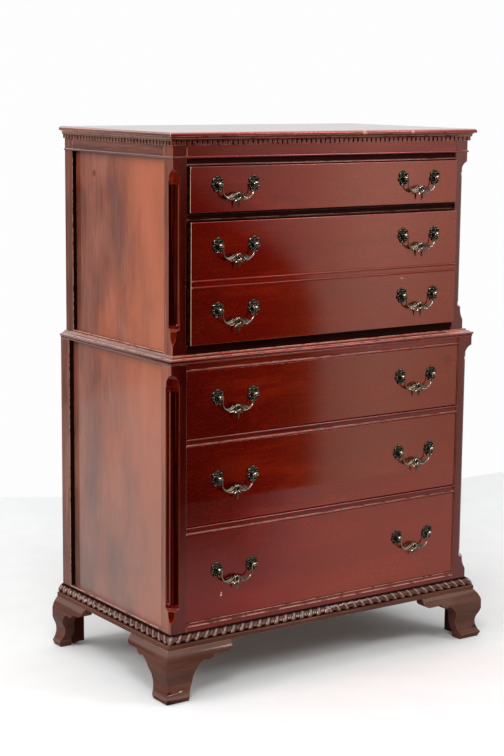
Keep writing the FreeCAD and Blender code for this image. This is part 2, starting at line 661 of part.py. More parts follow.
def wing(length, mitred):
    """An ogee bracket along +x from a corner at the origin, its face towards -y."""
    section = prism(foot_section(), lambda p, z: V(-FOOT_REACH, -p, z), V(FOOT_REACH + length, 0, 0))
    outline = prism(bracket_outline(length), lambda s, z: V(s, -FOOT_REACH, z),
                    V(0, FOOT_REACH + FOOT_INSIDE, 0))
    solid = section.common(outline)
    reach = FOOT_REACH
    if mitred:
        corners = [(-reach, -reach), (length, -reach), (length, FOOT_INSIDE), (FOOT_INSIDE, FOOT_INSIDE)]
    else:
        corners = [(0.0, -reach), (length, -reach), (length, FOOT_INSIDE), (0.0, FOOT_INSIDE)]
    points = [V(x, y, 0) for x, y in corners]
    keep = Part.Face(Part.makePolygon(points + points[:1])).extrude(V(0, 0, FOOT_HEIGHT))
    return solid.common(keep)


def swapped(shape):
    """The same bracket with its length along +y and its face towards -x."""
    return shape.mirror(V(0, 0, 0), V(1, -1, 0).normalize())


def front_feet():
    """Each front foot: a front bracket and a side bracket, mitred at the corner."""
    corner = V(-LOWER.half, LOWER.front, 0)
    front = wing(FRONT_WING, True).translated(corner)
    side = swapped(wing(SIDE_WING, True)).translated(corner)
    return both_sides(*(front.Solids + side.Solids))


def back_feet():
    """Each back foot: an ogee side bracket and a plain bracket across the back."""
    turned = swapped(wing(BACK_WING, False)).mirror(V(0, 0, 0), V(0, 1, 0))
    side = turned.translated(V(-LOWER.half, BACK_Y, 0))
    start = -LOWER.half + FOOT_INSIDE
    keep = box(start, start + REAR_BRACKET, BACK_Y - REAR_BRACKET_THICK, BACK_Y, 0.0, FOOT_HEIGHT)
    plain = prism(bracket_outline(REAR_BRACKET + FOOT_INSIDE),
                  lambda s, z: V(s - LOWER.half, BACK_Y - REAR_BRACKET_THICK, z),
                  V(0, REAR_BRACKET_THICK, 0))
    return both_sides(*(side.Solids + plain.common(keep).Solids))


def glue_blocks():
    """A tall block in the corner of each foot and a short one behind each bracket."""
    x1 = LOWER.half - FOOT_INSIDE
    front_y = LOWER.front + FOOT_INSIDE
    back_y = BACK_Y - REAR_BRACKET_THICK
    top = FOOT_HEIGHT
    strip_z = top - GLUE_STRIP
    blocks = []
    for y0, toward in ((front_y, 1), (back_y, -1)):
        y1 = y0 + toward * GLUE_BLOCK
        blocks.append(box(x1 - GLUE_BLOCK, x1, min(y0, y1), max(y0, y1), GLUE_BLOCK_CLEAR, top))
        s0 = y1
        s1 = s0 + toward * GLUE_STRIP_LENGTH
        blocks.append(box(x1 - GLUE_STRIP, x1, min(s0, s1), max(s0, s1), strip_z, top))
        e1 = y0 + toward * GLUE_STRIP
        inner = x1 - GLUE_BLOCK
        blocks.append(box(inner - GLUE_STRIP_LENGTH, inner, min(y0, e1), max(y0, e1), strip_z, top))
    return both_sides(*blocks)


# ---- drawers --------------------------------------------------------------------------------------
def tails(x0, root, tip, z0, z1):
    """Dovetails on the end of a drawer side: from root to tip along y, spread over a height."""
    count = max(2, round((z1 - z0) / DOVETAIL_PITCH))
    pitch = (z1 - z0) / count
    half_root = pitch * DOVETAIL_SHARE / 2
    half_tip = half_root + DOVETAIL_FLARE
    shapes = []
    for i in range(count):
        z = z0 + (i + 0.5) * pitch
        steps = [(root, z - half_root), (tip, z - half_tip), (tip, z + half_tip), (root, z + half_root)]
        shapes.append(prism(steps, lambda y, h: V(x0, y, h), V(DRAWER_SIDE, 0, 0)))
    return shapes


def drawer_joints(drawer):
    """Right-hand dovetails of a drawer: those in the front, and those in the back."""
    x0 = drawer.half - DRAWER_SIDE
    front = tails(x0, drawer.behind, drawer.face + DOVETAIL_LAP, drawer.side_bottom, drawer.side_top)
    back = tails(x0, drawer.back_inner, drawer.end, drawer.panel_top, drawer.side_top)
    return front, back


def pull_centres(drawer):
    """Where the posts of every pull pass through the front."""
    offsets = (-PULL_BORING / 2, PULL_BORING / 2)
    return [(x + offset, z) for x, z in drawer.pulls for offset in offsets]


def drawer_front(drawer):
    """A front with rounded arrises, dovetail sockets, the bottom's groove and the pull holes."""
    board = box(-drawer.half, drawer.half, drawer.face, drawer.behind, drawer.bottom, drawer.top)
    arrises = [edge for edge in board.Edges
               if abs(edge.BoundBox.YMax - drawer.face) < FRONT_ROUND / 2]
    board = board.makeFillet(FRONT_ROUND, arrises)
    sockets = both_sides(*drawer_joints(drawer)[0])
    reach = drawer.half - DRAWER_SIDE + GROOVE_DEPTH
    groove = box(-reach, reach, drawer.behind - GROOVE_DEPTH, drawer.behind, drawer.panel_z, drawer.panel_top)
    holes = [Part.makeCylinder(POST_RADIUS + POST_HOLE_PLAY, FRONT_THICK, V(x, drawer.face, z), V(0, 1, 0))
             for x, z in pull_centres(drawer)]
    return cut_all(board, sockets + [groove] + holes).Solids


def divide_beads(drawer):
    """Two beads across a deep front, which make it look like two drawers."""
    radius = DIVIDE_BEAD / 2
    crown = drawer.face - DIVIDE_BEAD_PROUD + radius
    beads = []
    for height in DIVIDE_HEIGHTS:
        z = drawer.floor + height
        strip = box(-drawer.half, drawer.half, crown, drawer.face, z - radius, z + radius)
        roll = Part.makeCylinder(radius, 2 * drawer.half, V(-drawer.half, crown, z), V(1, 0, 0))
        room = box(-drawer.half, drawer.half, crown - radius, drawer.face, z - radius, z + radius)
        beads += union([strip, roll]).common(room).Solids
    return beads


def drawer_box(drawer):
    """The two sides and the back, dovetailed together."""
    front_tails, back_tails = drawer_joints(drawer)
    x0, x1 = drawer.half - DRAWER_SIDE, drawer.half
    side = box(x0, x1, drawer.behind, drawer.back_inner, drawer.side_bottom, drawer.side_top)
    foot = box(x0, x1, drawer.behind, drawer.end, drawer.side_bottom, drawer.panel_top)
    groove = box(x0, x0 + GROOVE_DEPTH, drawer.face, drawer.end, drawer.panel_z, drawer.panel_top)
    side = union([side, foot] + front_tails + back_tails).cut(groove)
    back = box(-drawer.half, drawer.half, drawer.back_inner, drawer.end, drawer.panel_top, drawer.side_top)
    back = cut_all(back, both_sides(*back_tails))
    return both_sides(*side.Solids) + back.Solids


def drawer_bottom(drawer):
    """The bottom board, in the grooves of the front and sides and under the back."""
    reach = drawer.half - DRAWER_SIDE + GROOVE_DEPTH
    return [box(-reach, reach, drawer.behind - GROOVE_DEPTH, drawer.end, drawer.panel_z, drawer.panel_top)]


# ---- pulls ----------------------------------------------------------------------------------------
def rosette(x, y, z):
    """A pierced, lobed plate flat on the drawer front at (x, z)."""
    back = V(0, 1, 0)
    front = y - ROSETTE_THICK
    discs = [Part.makeCylinder(ROSETTE_DISC, ROSETTE_THICK, V(x, front, z), back)]
    holes = [Part.makeCylinder(POST_RADIUS + POST_HOLE_PLAY, ROSETTE_THICK, V(x, front, z), back)]
    for i in range(ROSETTE_LOBES):
        angle = 2 * math.pi * i / ROSETTE_LOBES
        u = x + (ROSETTE_WIDTH / 2 - ROSETTE_LOBE) * math.sin(angle)
        w = z + (ROSETTE_HEIGHT / 2 - ROSETTE_LOBE) * math.cos(angle)
        discs.append(Part.makeCylinder(ROSETTE_LOBE, ROSETTE_THICK, V(u, front, w), back))
        holes.append(Part.makeCylinder(PIERCING, ROSETTE_THICK, V(u, front, w), back))
    return cut_all(union(discs), holes).Solids


def pull_post(x, y, z, inward):
    """A post through the front with a collar, a ball head and the hole for the bail's pin."""
    out = V(0, -1, 0)
    behind = FRONT_THICK + NUT_THICK + THREAD_OVER
    shaft = Part.makeCylinder(POST_RADIUS, behind + BALL_OUT, V(x, y + behind, z), out)
    collar = Part.makeCylinder(COLLAR_RADIUS, COLLAR_THICK, V(x, y - ROSETTE_THICK, z), out)
    ball = Part.makeSphere(BALL_RADIUS, V(x, y - BALL_OUT, z))
    mouth = V(x + inward * BALL_RADIUS, y - BALL_OUT, z)
    hole = Part.makeCylinder(BAIL_PIN + BAIL_PIN_PLAY, BAIL_PIN_HOLE, mouth, V(-inward, 0, 0))
    return union([shaft, collar, ball]).cut(hole).Solids


def nut(x, y, z):
    """A hexagonal nut on the end of a post, against the back of the front."""
    turns = [math.tau * k / NUT_SIDES for k in range(NUT_SIDES)]
    corners = [(x + NUT_RADIUS * math.cos(turn), z + NUT_RADIUS * math.sin(turn)) for turn in turns]
    body = prism(corners, lambda u, w: V(u, y, w), V(0, NUT_THICK, 0))
    return body.cut(Part.makeCylinder(POST_RADIUS, NUT_THICK, V(x, y, z), V(0, 1, 0))).Solids


def pull_mounts(drawer):
    """Rosettes, posts and nuts of every pull on a drawer."""
    solids = []
    for cx, z in drawer.pulls:
        for inward in (1, -1):
            x = cx - inward * PULL_BORING / 2
            solids += rosette(x, drawer.face, z)
            solids += pull_post(x, drawer.face, z, inward)
            solids += nut(x, drawer.behind, z)
    return solids


def bail(drawer, cx, cz):
    """A bail: pins in the balls, arms bent down to a cross bar, leaves, a cartouche and a pendant."""
    y = drawer.face - BALL_OUT
    mouth = PULL_BORING / 2 - BALL_RADIUS
    pin_end = mouth + BAIL_PIN_HOLE - BAIL_PIN_END_PLAY
    arm = PULL_BORING / 2 - BAIL_ARM - BAIL_ROD
    elbow_x = arm + BAIL_ELBOW
    bend_top = -BAIL_DROP + BAIL_SWEEP
    bar_end = arm - BAIL_SWEEP
    diagonal = 1 - math.sqrt(0.5)

    def at(x, z):
        return V(cx + x, y, cz + z)

    elbow_mid = at(arm + BAIL_ELBOW * diagonal, -BAIL_ELBOW * diagonal)
    bend_mid = at(arm - BAIL_SWEEP * diagonal, -BAIL_DROP + BAIL_SWEEP * diagonal)
    half = [
        Part.Arc(at(elbow_x, 0), elbow_mid, at(arm, -BAIL_ELBOW)).toShape(),
        Part.LineSegment(at(arm, -BAIL_ELBOW), at(arm, bend_top)).toShape(),
        Part.Arc(at(arm, bend_top), bend_mid, at(bar_end, -BAIL_DROP)).toShape(),
        Part.LineSegment(at(bar_end, -BAIL_DROP), at(0, -BAIL_DROP)).toShape(),
    ]
    circle = Part.Wire([Part.makeCircle(BAIL_ROD, at(elbow_x, 0), V(1, 0, 0))])
    rod = Part.Wire(half).makePipeShell([circle], True, False)
    leaf_x = bar_end - LEAF_LENGTH * LEAF_LAP
    leaf = [Part.makeCone(LEAF_RADIUS, BAIL_ROD, LEAF_LENGTH / 2, at(leaf_x, -BAIL_DROP), V(way, 0, 0))
            for way in (1, -1)]
    pin = Part.makeCylinder(BAIL_PIN, pin_end - elbow_x, at(elbow_x, 0), V(1, 0, 0))
    side = [rod, pin] + leaf
    axis = at(0, 0)
    other = [shape.mirror(axis, V(1, 0, 0)) for shape in side]
    disc = Part.makeCylinder(CARTOUCHE_RADIUS, CARTOUCHE_THICK,
                             at(0, -BAIL_DROP) - V(0, CARTOUCHE_THICK / 2, 0), V(0, 1, 0))
    pendant_top = -BAIL_DROP - CARTOUCHE_RADIUS / 2
    pendant = Part.makeCone(PENDANT_TOP_RADIUS, PENDANT_TIP_RADIUS, PENDANT_DROP + pendant_top,
                            at(0, pendant_top), V(0, 0, -1))
    tip = Part.makeSphere(PENDANT_TIP_RADIUS, at(0, -PENDANT_DROP))
    return union(side + other + [disc, pendant, tip]).Solids


# ---- fasteners ------------------------------------------------------------------------------------
def bottom_board():
    """The upper stage's bottom board, between its posts, rebated into the lowest rail."""
    return box(-UPPER.inner, UPPER.inner, UPPER.rail_back - BOTTOM_BOARD_REBATE, BACK_RAIL_FRONT,
               UPPER.foot, UPPER.foot + BOTTOM_BOARD_THICK)


def case_screws(board):
    """Countersunk screws down through the upper bottom board into the lower stage's top."""
    length = BOTTOM_BOARD_THICK + LOWER_TOP_THICK - SCREW_TIP_COVER
    span = board.BoundBox
    side = span.XMax - CASE_SCREW_SIDE_INSET
    screws = []
    for x in (-side, 0.0, side):
        for y in (span.YMin + CASE_SCREW_END_INSET, span.YMax - CASE_SCREW_END_INSET):
            seat = V(x, y, span.ZMax)
            head = Part.makeCone(SCREW_HEAD_RADIUS, SCREW_RADIUS, SCREW_HEAD_HEIGHT, seat, V(0, 0, -1))
            shank = Part.makeCylinder(SCREW_RADIUS, length, seat, V(0, 0, -1))
            screws += union([head, shank]).Solids
    return screws


# ---- the assembly -----------------------------------------------------------------------------------
def build():
    """Every node of the chest, as lists of solids by name."""
    nodes = {}
    board = bottom_board()
    screws = case_screws(board)

    # upper stage
    waist_ledge = WAIST_TOP_Z + SIDE_LEDGE
    upper_rails = [
        drawer_rail(UPPER, UPPER.foot, FLOOR_2, False, False),
        drawer_rail(UPPER, FLOOR_1 - UPPER_RAIL, FLOOR_1, True, True),
        drawer_rail(UPPER, FRIEZE_Z - UPPER_TOP_RAIL, FRIEZE_Z, True, False),
    ]
    upper_rails[0] = upper_rails[0].cut(board)
    upper_panel = box(UPPER.panel_in, UPPER.panel_out, UPPER.post_back - GROOVE_DEPTH + PANEL_PLAY,
                      UPPER.back_post_front + GROOVE_DEPTH - PANEL_PLAY,
                      waist_ledge - GROOVE_DEPTH + PANEL_PLAY, FRIEZE_Z + GROOVE_DEPTH - PANEL_PLAY)
    upper_groove = panel_space(UPPER, waist_ledge - GROOVE_DEPTH, FRIEZE_Z + GROOVE_DEPTH)
    upper_side_bottom = side_rail(UPPER, UPPER.half, SIDE_RAIL_THICK, UPPER.foot, waist_ledge)
    upper_back_bottom = back_rail(UPPER, UPPER.foot, FLOOR_2)
    frieze_front = cross_rail(UPPER, UPPER.front, FRIEZE_THICK, FRIEZE_Z, UPPER.head,
                              UPPER.front + TENON_SHOULDER, FRIEZE_THICK - 2 * TENON_SHOULDER, TENON_SHOULDER)
    frieze_side = side_rail(UPPER, UPPER.half, SIDE_RAIL_THICK, FRIEZE_Z, UPPER.head)
    frieze_back = back_rail(UPPER, FRIEZE_Z, UPPER.head)
    upper_joints = upper_rails + [upper_side_bottom, upper_back_bottom, frieze_front, frieze_side,
                                  frieze_back]
    upper_chamfer = corner_cut(UPPER, UPPER_CHAMFER, FRIEZE_Z - CHAMFER_HEAD_GAP, SCOOP_LENGTH,
                               WAIST_TOP_Z + CHAMFER_FOOT_GAP, TONGUE_LENGTH)
    nodes["top_board"] = top_board()
    nodes["dentil_moulding"] = dentils()
    nodes["astragal_moulding"] = astragal()
    nodes["frieze_rails"] = ([frieze_front] + both_sides(frieze_side.cut(upper_groove)) + [frieze_back])
    nodes["upper_front_posts"] = front_posts(UPPER, upper_chamfer, upper_joints, upper_groove)
    nodes["upper_back_posts"] = back_posts(UPPER, upper_joints, upper_groove)
    nodes["upper_side_panels"] = both_sides(upper_panel)
    nodes["upper_frame_rails"] = both_sides(upper_side_bottom.cut(upper_groove)) + [upper_back_bottom]
    nodes["upper_drawer_rails"] = upper_rails
    bottom_runner_height = UPPER_BOTTOM_RAIL - BOTTOM_BOARD_THICK
    nodes["upper_runners"] = (
        runner(UPPER, FLOOR_2, bottom_runner_height, BACK_RAIL_FRONT)
        + guide(UPPER, waist_ledge, FLOOR_2 + GUIDE_LIP)
        + runner(UPPER, FLOOR_1, RUNNER_HEIGHT, BACK_INNER)
        + guide(UPPER, FLOOR_1 - RUNNER_HEIGHT, FLOOR_1 + GUIDE_LIP)
        + runner(UPPER, FRIEZE_Z, UPPER_TOP_RAIL, BACK_INNER)
    )
    nodes["upper_bottom_board"] = board.cut(Part.makeCompound(screws)).Solids
    nodes["upper_back_planks"] = back_planks(UPPER)

    # lower stage
    base_ledge = GADROON_TOP_Z + SIDE_LEDGE
    bottom_rail = drawer_rail(LOWER, LOWER.foot, FLOOR_5, False, False)
    bottom_face = box(-LOWER.inner, LOWER.inner, LOWER.front, LOWER.rail_face, LOWER.foot,
                      FLOOR_5 - BOTTOM_RAIL_STEP)
    lower_rails = [
        union([bottom_rail, bottom_face]),
        drawer_rail(LOWER, FLOOR_4 - LOWER_RAIL, FLOOR_4, True, True),
        drawer_rail(LOWER, FLOOR_3 - LOWER_RAIL, FLOOR_3, True, True),
        drawer_rail(LOWER, LOWER.head - LOWER_TOP_RAIL, LOWER.head, True, False),
    ]
    lower_panel = box(LOWER.panel_in, LOWER.panel_out, LOWER.post_back - GROOVE_DEPTH + PANEL_PLAY,
                      LOWER.back_post_front + GROOVE_DEPTH - PANEL_PLAY,
                      base_ledge - GROOVE_DEPTH + PANEL_PLAY, LOWER.head)
    lower_groove = panel_space(LOWER, base_ledge - GROOVE_DEPTH, LOWER.head)
    lower_side_bottom = side_rail(LOWER, LOWER.half, SIDE_RAIL_THICK, LOWER.foot, base_ledge)
    lower_side_top = side_rail(LOWER, LOWER.panel_in, LOWER.panel_in - LOWER.inner,
                               LOWER.head - LOWER_TOP_RAIL, LOWER.head)
    lower_back_bottom = back_rail(LOWER, LOWER.foot, FLOOR_5)
    lower_back_top = back_rail(LOWER, LOWER.head - LOWER_TOP_RAIL, LOWER.head)
    lower_joints = lower_rails + [lower_side_bottom, lower_side_top, lower_back_bottom, lower_back_top]
    lower_chamfer = corner_cut(LOWER, LOWER_CHAMFER, LOWER.head - LOWER_CHAMFER_HEAD_GAP, LOWER_SCOOP_LENGTH,
                               GADROON_TOP_Z + LOWER_CHAMFER_FOOT_GAP, LOWER_TONGUE_LENGTH)
    nodes["waist_moulding"] = waist()
    top_half = LOWER.half - TOP_BOARD_SET_IN
    lower_top = box(-top_half, top_half, LOWER.front + TOP_BOARD_SET_IN, BACK_Y, LOWER.head, UPPER.foot)
    nodes["lower_top_board"] = lower_top.cut(Part.makeCompound(screws)).Solids
    nodes["lower_front_posts"] = front_posts(LOWER, lower_chamfer, lower_joints, lower_groove)
    nodes["lower_back_posts"] = back_posts(LOWER, lower_joints, lower_groove)
    nodes["lower_side_panels"] = both_sides(lower_panel)
    nodes["lower_frame_rails"] = (both_sides(lower_side_bottom.cut(lower_groove), lower_side_top)
                                  + [lower_back_bottom, lower_back_top])
    nodes["lower_drawer_rails"] = lower_rails
    nodes["lower_runners"] = (
        runner(LOWER, FLOOR_5, RUNNER_HEIGHT, BACK_RAIL_FRONT)
        + guide(LOWER, base_ledge, FLOOR_5 + GUIDE_LIP)
        + runner(LOWER, FLOOR_4, RUNNER_HEIGHT, BACK_INNER)
        + guide(LOWER, FLOOR_4 - RUNNER_HEIGHT, FLOOR_4 + GUIDE_LIP)
        + runner(LOWER, FLOOR_3, RUNNER_HEIGHT, BACK_INNER)
        + guide(LOWER, FLOOR_3 - RUNNER_HEIGHT, FLOOR_3 + GUIDE_LIP)
        + runner(LOWER, LOWER.head, LOWER_TOP_RAIL, BACK_RAIL_FRONT)
    )
    nodes["lower_back_planks"] = back_planks(LOWER)

    # base
    nodes["gadroon_moulding"] = gadroon()
    nodes["base_frame"] = base_frame()
    nodes["front_feet"] = front_feet()
    nodes["back_feet"] = back_feet()
    nodes["glue_blocks"] = glue_blocks()

    # drawers, pulls and small pieces
    nodes["drawer_stops"] = [block for drawer in DRAWERS for block in stops(drawer)]
    nodes["case_screws"] = screws
    bail_number = 0
    for number, drawer in enumerate(DRAWERS, start=1):
        name = f"drawer_{number}"
        nodes[f"{name}_front"] = drawer_front(drawer)
        if drawer is DIVIDED_DRAWER:
            nodes[f"{name}_front"] += divide_beads(drawer)
        nodes[f"{name}_box"] = drawer_box(drawer)
        nodes[f"{name}_bottom"] = drawer_bottom(drawer)
        nodes[f"{name}_pull_mounts"] = pull_mounts(drawer)
        for x, z in drawer.pulls:
            bail_number += 1
            nodes[f"bail_{bail_number:02d}"] = bail(drawer, x, z)
    return nodes


def export(nodes):
    """One STEP file for each node."""
    os.makedirs("parts", exist_ok=True)
    for name, solids in nodes.items():
        shape = solids[0] if len(solids) == 1 else Part.makeCompound(solids)
        shape.exportStep(f"parts/{name}.step")


export(build())
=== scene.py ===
"""The looks of a mahogany chest on chest: polished wood, carved gadrooning and antique brass on the
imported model.

Lengths are in metres in the model's own frame, and in millimetres where a heading or a comment says
so. The floor is z = 0 and the front looks along -Y.
"""

import json
import math

import bmesh
import bpy
import numpy as np
from mathutils import Matrix, Vector


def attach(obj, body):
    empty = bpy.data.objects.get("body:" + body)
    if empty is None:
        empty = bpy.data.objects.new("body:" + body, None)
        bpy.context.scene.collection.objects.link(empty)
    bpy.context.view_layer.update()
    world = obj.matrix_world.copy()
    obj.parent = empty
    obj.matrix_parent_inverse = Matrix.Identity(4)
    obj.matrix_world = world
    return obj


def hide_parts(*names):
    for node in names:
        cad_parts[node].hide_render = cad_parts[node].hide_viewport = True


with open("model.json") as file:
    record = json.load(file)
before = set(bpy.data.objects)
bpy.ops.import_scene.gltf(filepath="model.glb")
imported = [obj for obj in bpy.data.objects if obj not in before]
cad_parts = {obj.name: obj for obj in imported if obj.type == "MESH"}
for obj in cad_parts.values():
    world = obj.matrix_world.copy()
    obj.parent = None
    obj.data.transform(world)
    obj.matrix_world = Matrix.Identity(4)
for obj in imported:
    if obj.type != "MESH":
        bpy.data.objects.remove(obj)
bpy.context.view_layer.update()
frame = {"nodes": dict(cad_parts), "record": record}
nodes = frame["nodes"]
bodies = frame["record"]["behaviour"]["bodies"]
body_of = {node: body for body, members in bodies.items() for node in members}
scene = bpy.context.scene
scene.view_settings.view_transform = "Standard"

MM = 0.001
DRAWER_FACES = {1: -242.5, 2: -246.5, 3: -248.5, 4: -248.5, 5: -248.5}  # y in millimetres


def new_object(name, data):
    """A new object in the scene."""
    thing = bpy.data.objects.new(name, data)
    scene.collection.objects.link(thing)
    return thing


# ---------------- camera

CAMERA_AT = (-2.6580, -3.7344, 1.4986)
CAMERA_YAW = math.radians(34.80)
CAMERA_PITCH = math.radians(-9.70)
CAMERA_ROLL = math.radians(0.53)
LENS = 126.47
SENSOR = 36.0


def place_camera():
    """Aims the camera: yaw turns from +Y towards +X, pitch tips it down and roll turns it about its
    own axis."""
    forward = Vector((math.sin(CAMERA_YAW) * math.cos(CAMERA_PITCH),
                      math.cos(CAMERA_YAW) * math.cos(CAMERA_PITCH),
                      math.sin(CAMERA_PITCH)))
    level = Vector((math.cos(CAMERA_YAW), -math.sin(CAMERA_YAW), 0.0))
    upright = level.cross(forward)
    across = math.cos(CAMERA_ROLL) * level + math.sin(CAMERA_ROLL) * upright
    upward = math.cos(CAMERA_ROLL) * upright - math.sin(CAMERA_ROLL) * level
    data = bpy.data.cameras.new("camera")
    data.lens = LENS
    data.sensor_width = SENSOR
    data.sensor_fit = "HORIZONTAL"
    camera = new_object("camera", data)
    turn = Matrix((across, upward, -forward)).transposed().to_4x4()
    camera.matrix_world = Matrix.Translation(CAMERA_AT) @ turn
    scene.camera = camera


place_camera()


# ---------------- shader steps

def shader(tree, kind, inputs=None, **settings):
    """Adds a shader node. Each input is a plain value or the output socket of another node."""
    node = tree.nodes.new("ShaderNode" + kind)
    for setting, value in settings.items():
        setattr(node, setting, value)
    for socket, value in (inputs or {}).items():
        if isinstance(value, bpy.types.NodeSocket):
            tree.links.new(value, node.inputs[socket])
        else:
            node.inputs[socket].default_value = value
    return node


def maths(tree, operation, first, second=0.0, third=0.0):
    """The result of one arithmetic step."""
    return shader(tree, "Math", {0: first, 1: second, 2: third}, operation=operation).outputs[0]


def product(tree, value, *factors):
    """value times every factor."""
    for factor in factors:
        value = maths(tree, "MULTIPLY", value, factor)
    return value


def largest(tree, value, *others):
    """The largest of the values."""
    for other in others:
        value = maths(tree, "MAXIMUM", value, other)
    return value


def less(tree, value, taken):
    """value less taken."""
    return maths(tree, "SUBTRACT", value, taken)


def times_plus(tree, value, factor, added):
    """value times factor, plus added."""
    return maths(tree, "MULTIPLY_ADD", value, factor, added)


def spread(tree, value, low, high, to_low=0.0, to_high=1.0):
    """value carried from low..high to to_low..to_high with soft ends."""
    inputs = {0: value, 1: low, 2: high, 3: to_low, 4: to_high}
    return shader(tree, "MapRange", inputs, interpolation_type="SMOOTHSTEP").outputs[0]


def mixed(tree, share, first, second):
    """The second colour laid over the first by the given share."""
    return shader(tree, "Mix", {0: share, 6: first, 7: second}, data_type="RGBA").outputs[2]


def mixed_value(tree, share, first, second):
    """first where share is 0 and second where it is 1."""
    return shader(tree, "Mix", {0: share, 2: first, 3: second}, data_type="FLOAT").outputs[0]


def noise(tree, place, stretch, detail, rough, warp=0.0, shift=(0.0, 0.0, 0.0)):
    """Noise whose cells are 1 / stretch metres along each axis of place."""
    spot = shader(tree, "Mapping", {"Vector": place, "Location": shift, "Scale": stretch})
    cells = shader(tree, "TexNoise", {"Vector": spot.outputs[0], "Scale": 1.0, "Detail": detail,
                                      "Roughness": rough, "Distortion": warp})
    return cells.outputs[0]


def here(tree):
    """Where a point of the piece is, in metres."""
    return shader(tree, "TexCoord").outputs["Object"]


def axes(tree, vector):
    """The x, y and z of a vector."""
    return shader(tree, "SeparateXYZ", {0: vector}).outputs


def carved_height(tree):
    """How far a point stands out of its surroundings, from 0 to 1, as made_piece stores it."""
    return shader(tree, "Attribute", attribute_name="proud").outputs["Fac"]


def bump(tree, height, strength, distance, over=None):
    """The normal of a surface that rises with height by up to distance, over an earlier relief."""
    inputs = {"Strength": strength, "Distance": distance, "Height": height}
    if over:
        inputs["Normal"] = over
    return shader(tree, "Bump", inputs).outputs[0]


def new_material(name):
    """An empty node material and its tree."""
    material = bpy.data.materials.new(name)
    material.use_nodes = True
    material.node_tree.nodes.clear()
    return material, material.node_tree


def finished(material, tree, inputs):
    """The material with a principled surface of these inputs joined to its output."""
    surface = shader(tree, "BsdfPrincipled", inputs)
    shader(tree, "OutputMaterial", {"Surface": surface.outputs[0]})
    return material


# ---------------- colours (red, green, blue, cover)

def tones(*colours):
    """The dark, middle and light tone of a wood, with full cover."""
    return tuple((*colour, 1.0) for colour in colours)


# the panel, side and flute tones are lighter copies of the wood: painted light on faces that look
# left or askew
FRONT_RED = tones((0.026, 0.0002, 0.0001), (0.060, 0.0006, 0.0002), (0.140, 0.0085, 0.0012))
LIT_PANEL_RED = tones((0.150, 0.0300, 0.0140), (0.265, 0.0660, 0.0340), (0.370, 0.1130, 0.0660))
RAIL_RED = tones((0.036, 0.0016, 0.0008), (0.074, 0.0050, 0.0020), (0.130, 0.0160, 0.0060))
LIT_SIDE_RED = tones((0.100, 0.0230, 0.0130), (0.180, 0.0500, 0.0300), (0.270, 0.0900, 0.0560))
POST_RED = tones((0.021, 0.0005, 0.0003), (0.038, 0.0011, 0.0005), (0.066, 0.0040, 0.0015))
POST_ARRIS = tones((0.060, 0.0090, 0.0040), (0.150, 0.0320, 0.0120), (0.260, 0.0800, 0.0360))
LIT_FLUTE_RED = tones((0.055, 0.0012, 0.0006), (0.105, 0.0038, 0.0012), (0.180, 0.0140, 0.0040))
# near black: painted shade on the ends of the drawer fronts
END_SHADE_BLACK = tones((0.008, 0.0020, 0.0012), (0.012, 0.0030, 0.0018), (0.018, 0.0050, 0.0030))
BASE_BROWN = tones((0.092, 0.0310, 0.0200), (0.124, 0.0450, 0.0310), (0.158, 0.0640, 0.0450))
BASE_ARRIS = tones((0.140, 0.0380, 0.0140), (0.310, 0.0980, 0.0380), (0.500, 0.1850, 0.0850))
RAW_BROWN = tones((0.010, 0.0040, 0.0030), (0.020, 0.0080, 0.0060), (0.034, 0.0150, 0.0110))
BOX_BROWN = tones((0.200, 0.0950, 0.0550), (0.300, 0.1550, 0.0950), (0.400, 0.2250, 0.1450))

# the dark of painted shade, and of grime in the inner corners
SHADE_AND_GRIME = (0.005, 0.0016, 0.0010, 1.0)
UNDER_POLISH = (1.000, 0.0300, 0.0000, 1.0)  # the gleam of the fibres
# pale bare wood of wear and chips; on the arrises it also paints their highlights
BARE_WOOD_AND_HIGHLIGHT = (0.660, 0.3700, 0.2500, 1.0)
CREST_WEAR_AND_HIGHLIGHT = (0.300, 0.1900, 0.1550, 1.0)
# painted light towards the front edge of the side panels
PANEL_LIGHT = (0.640, 0.1680, 0.0700, 1.0)
GREY_CAST = (0.235, 0.1650, 0.1400, 1.0)
RING_STAIN = (0.100, 0.0060, 0.0030, 1.0)
ORANGE_CLOUD = (0.165, 0.0130, 0.0022, 1.0)
DARK_CLOUD = (0.016, 0.0006, 0.0003, 1.0)
# painted shade towards the ends of the drawer fronts
FRONT_END_SHADE = (0.014, 0.0003, 0.0002, 1.0)
# painted light, browner, on the right of the drawer fronts
FRONT_RIGHT_LIGHT = (0.110, 0.0480, 0.0110, 1.0)
KNOT = (0.012, 0.0020, 0.0010, 1.0)
PALE = (0.700, 0.5200, 0.4300, 1.0)
DRY_DARK = (0.250, 0.1300, 0.0600, 1.0)
DRY_LIGHT = (0.520, 0.3300, 0.1750, 1.0)
DRY_STAIN = (0.160, 0.0850, 0.0450, 1.0)
PATINA = (0.008, 0.0060, 0.0040, 1.0)
RUBBED_BRASS = (0.360, 0.3100, 0.2500, 1.0)
STEEL_DARK = (0.300, 0.2900, 0.2800, 1.0)
STEEL_LIGHT = (0.520, 0.5100, 0.5000, 1.0)
WHITE = (1.000, 1.0000, 1.0000, 1.0)
WARM = (1.000, 0.9600, 0.8600, 1.0)
BLACK = (0.000, 0.0000, 0.0000, 1.0)


# ---------------- wood

GRAIN_TURN = {"x": (0.0, 0.0, 0.0), "y": (0.0, 0.0, math.radians(90)),
              "z": (0.0, math.radians(90), 0.0)}

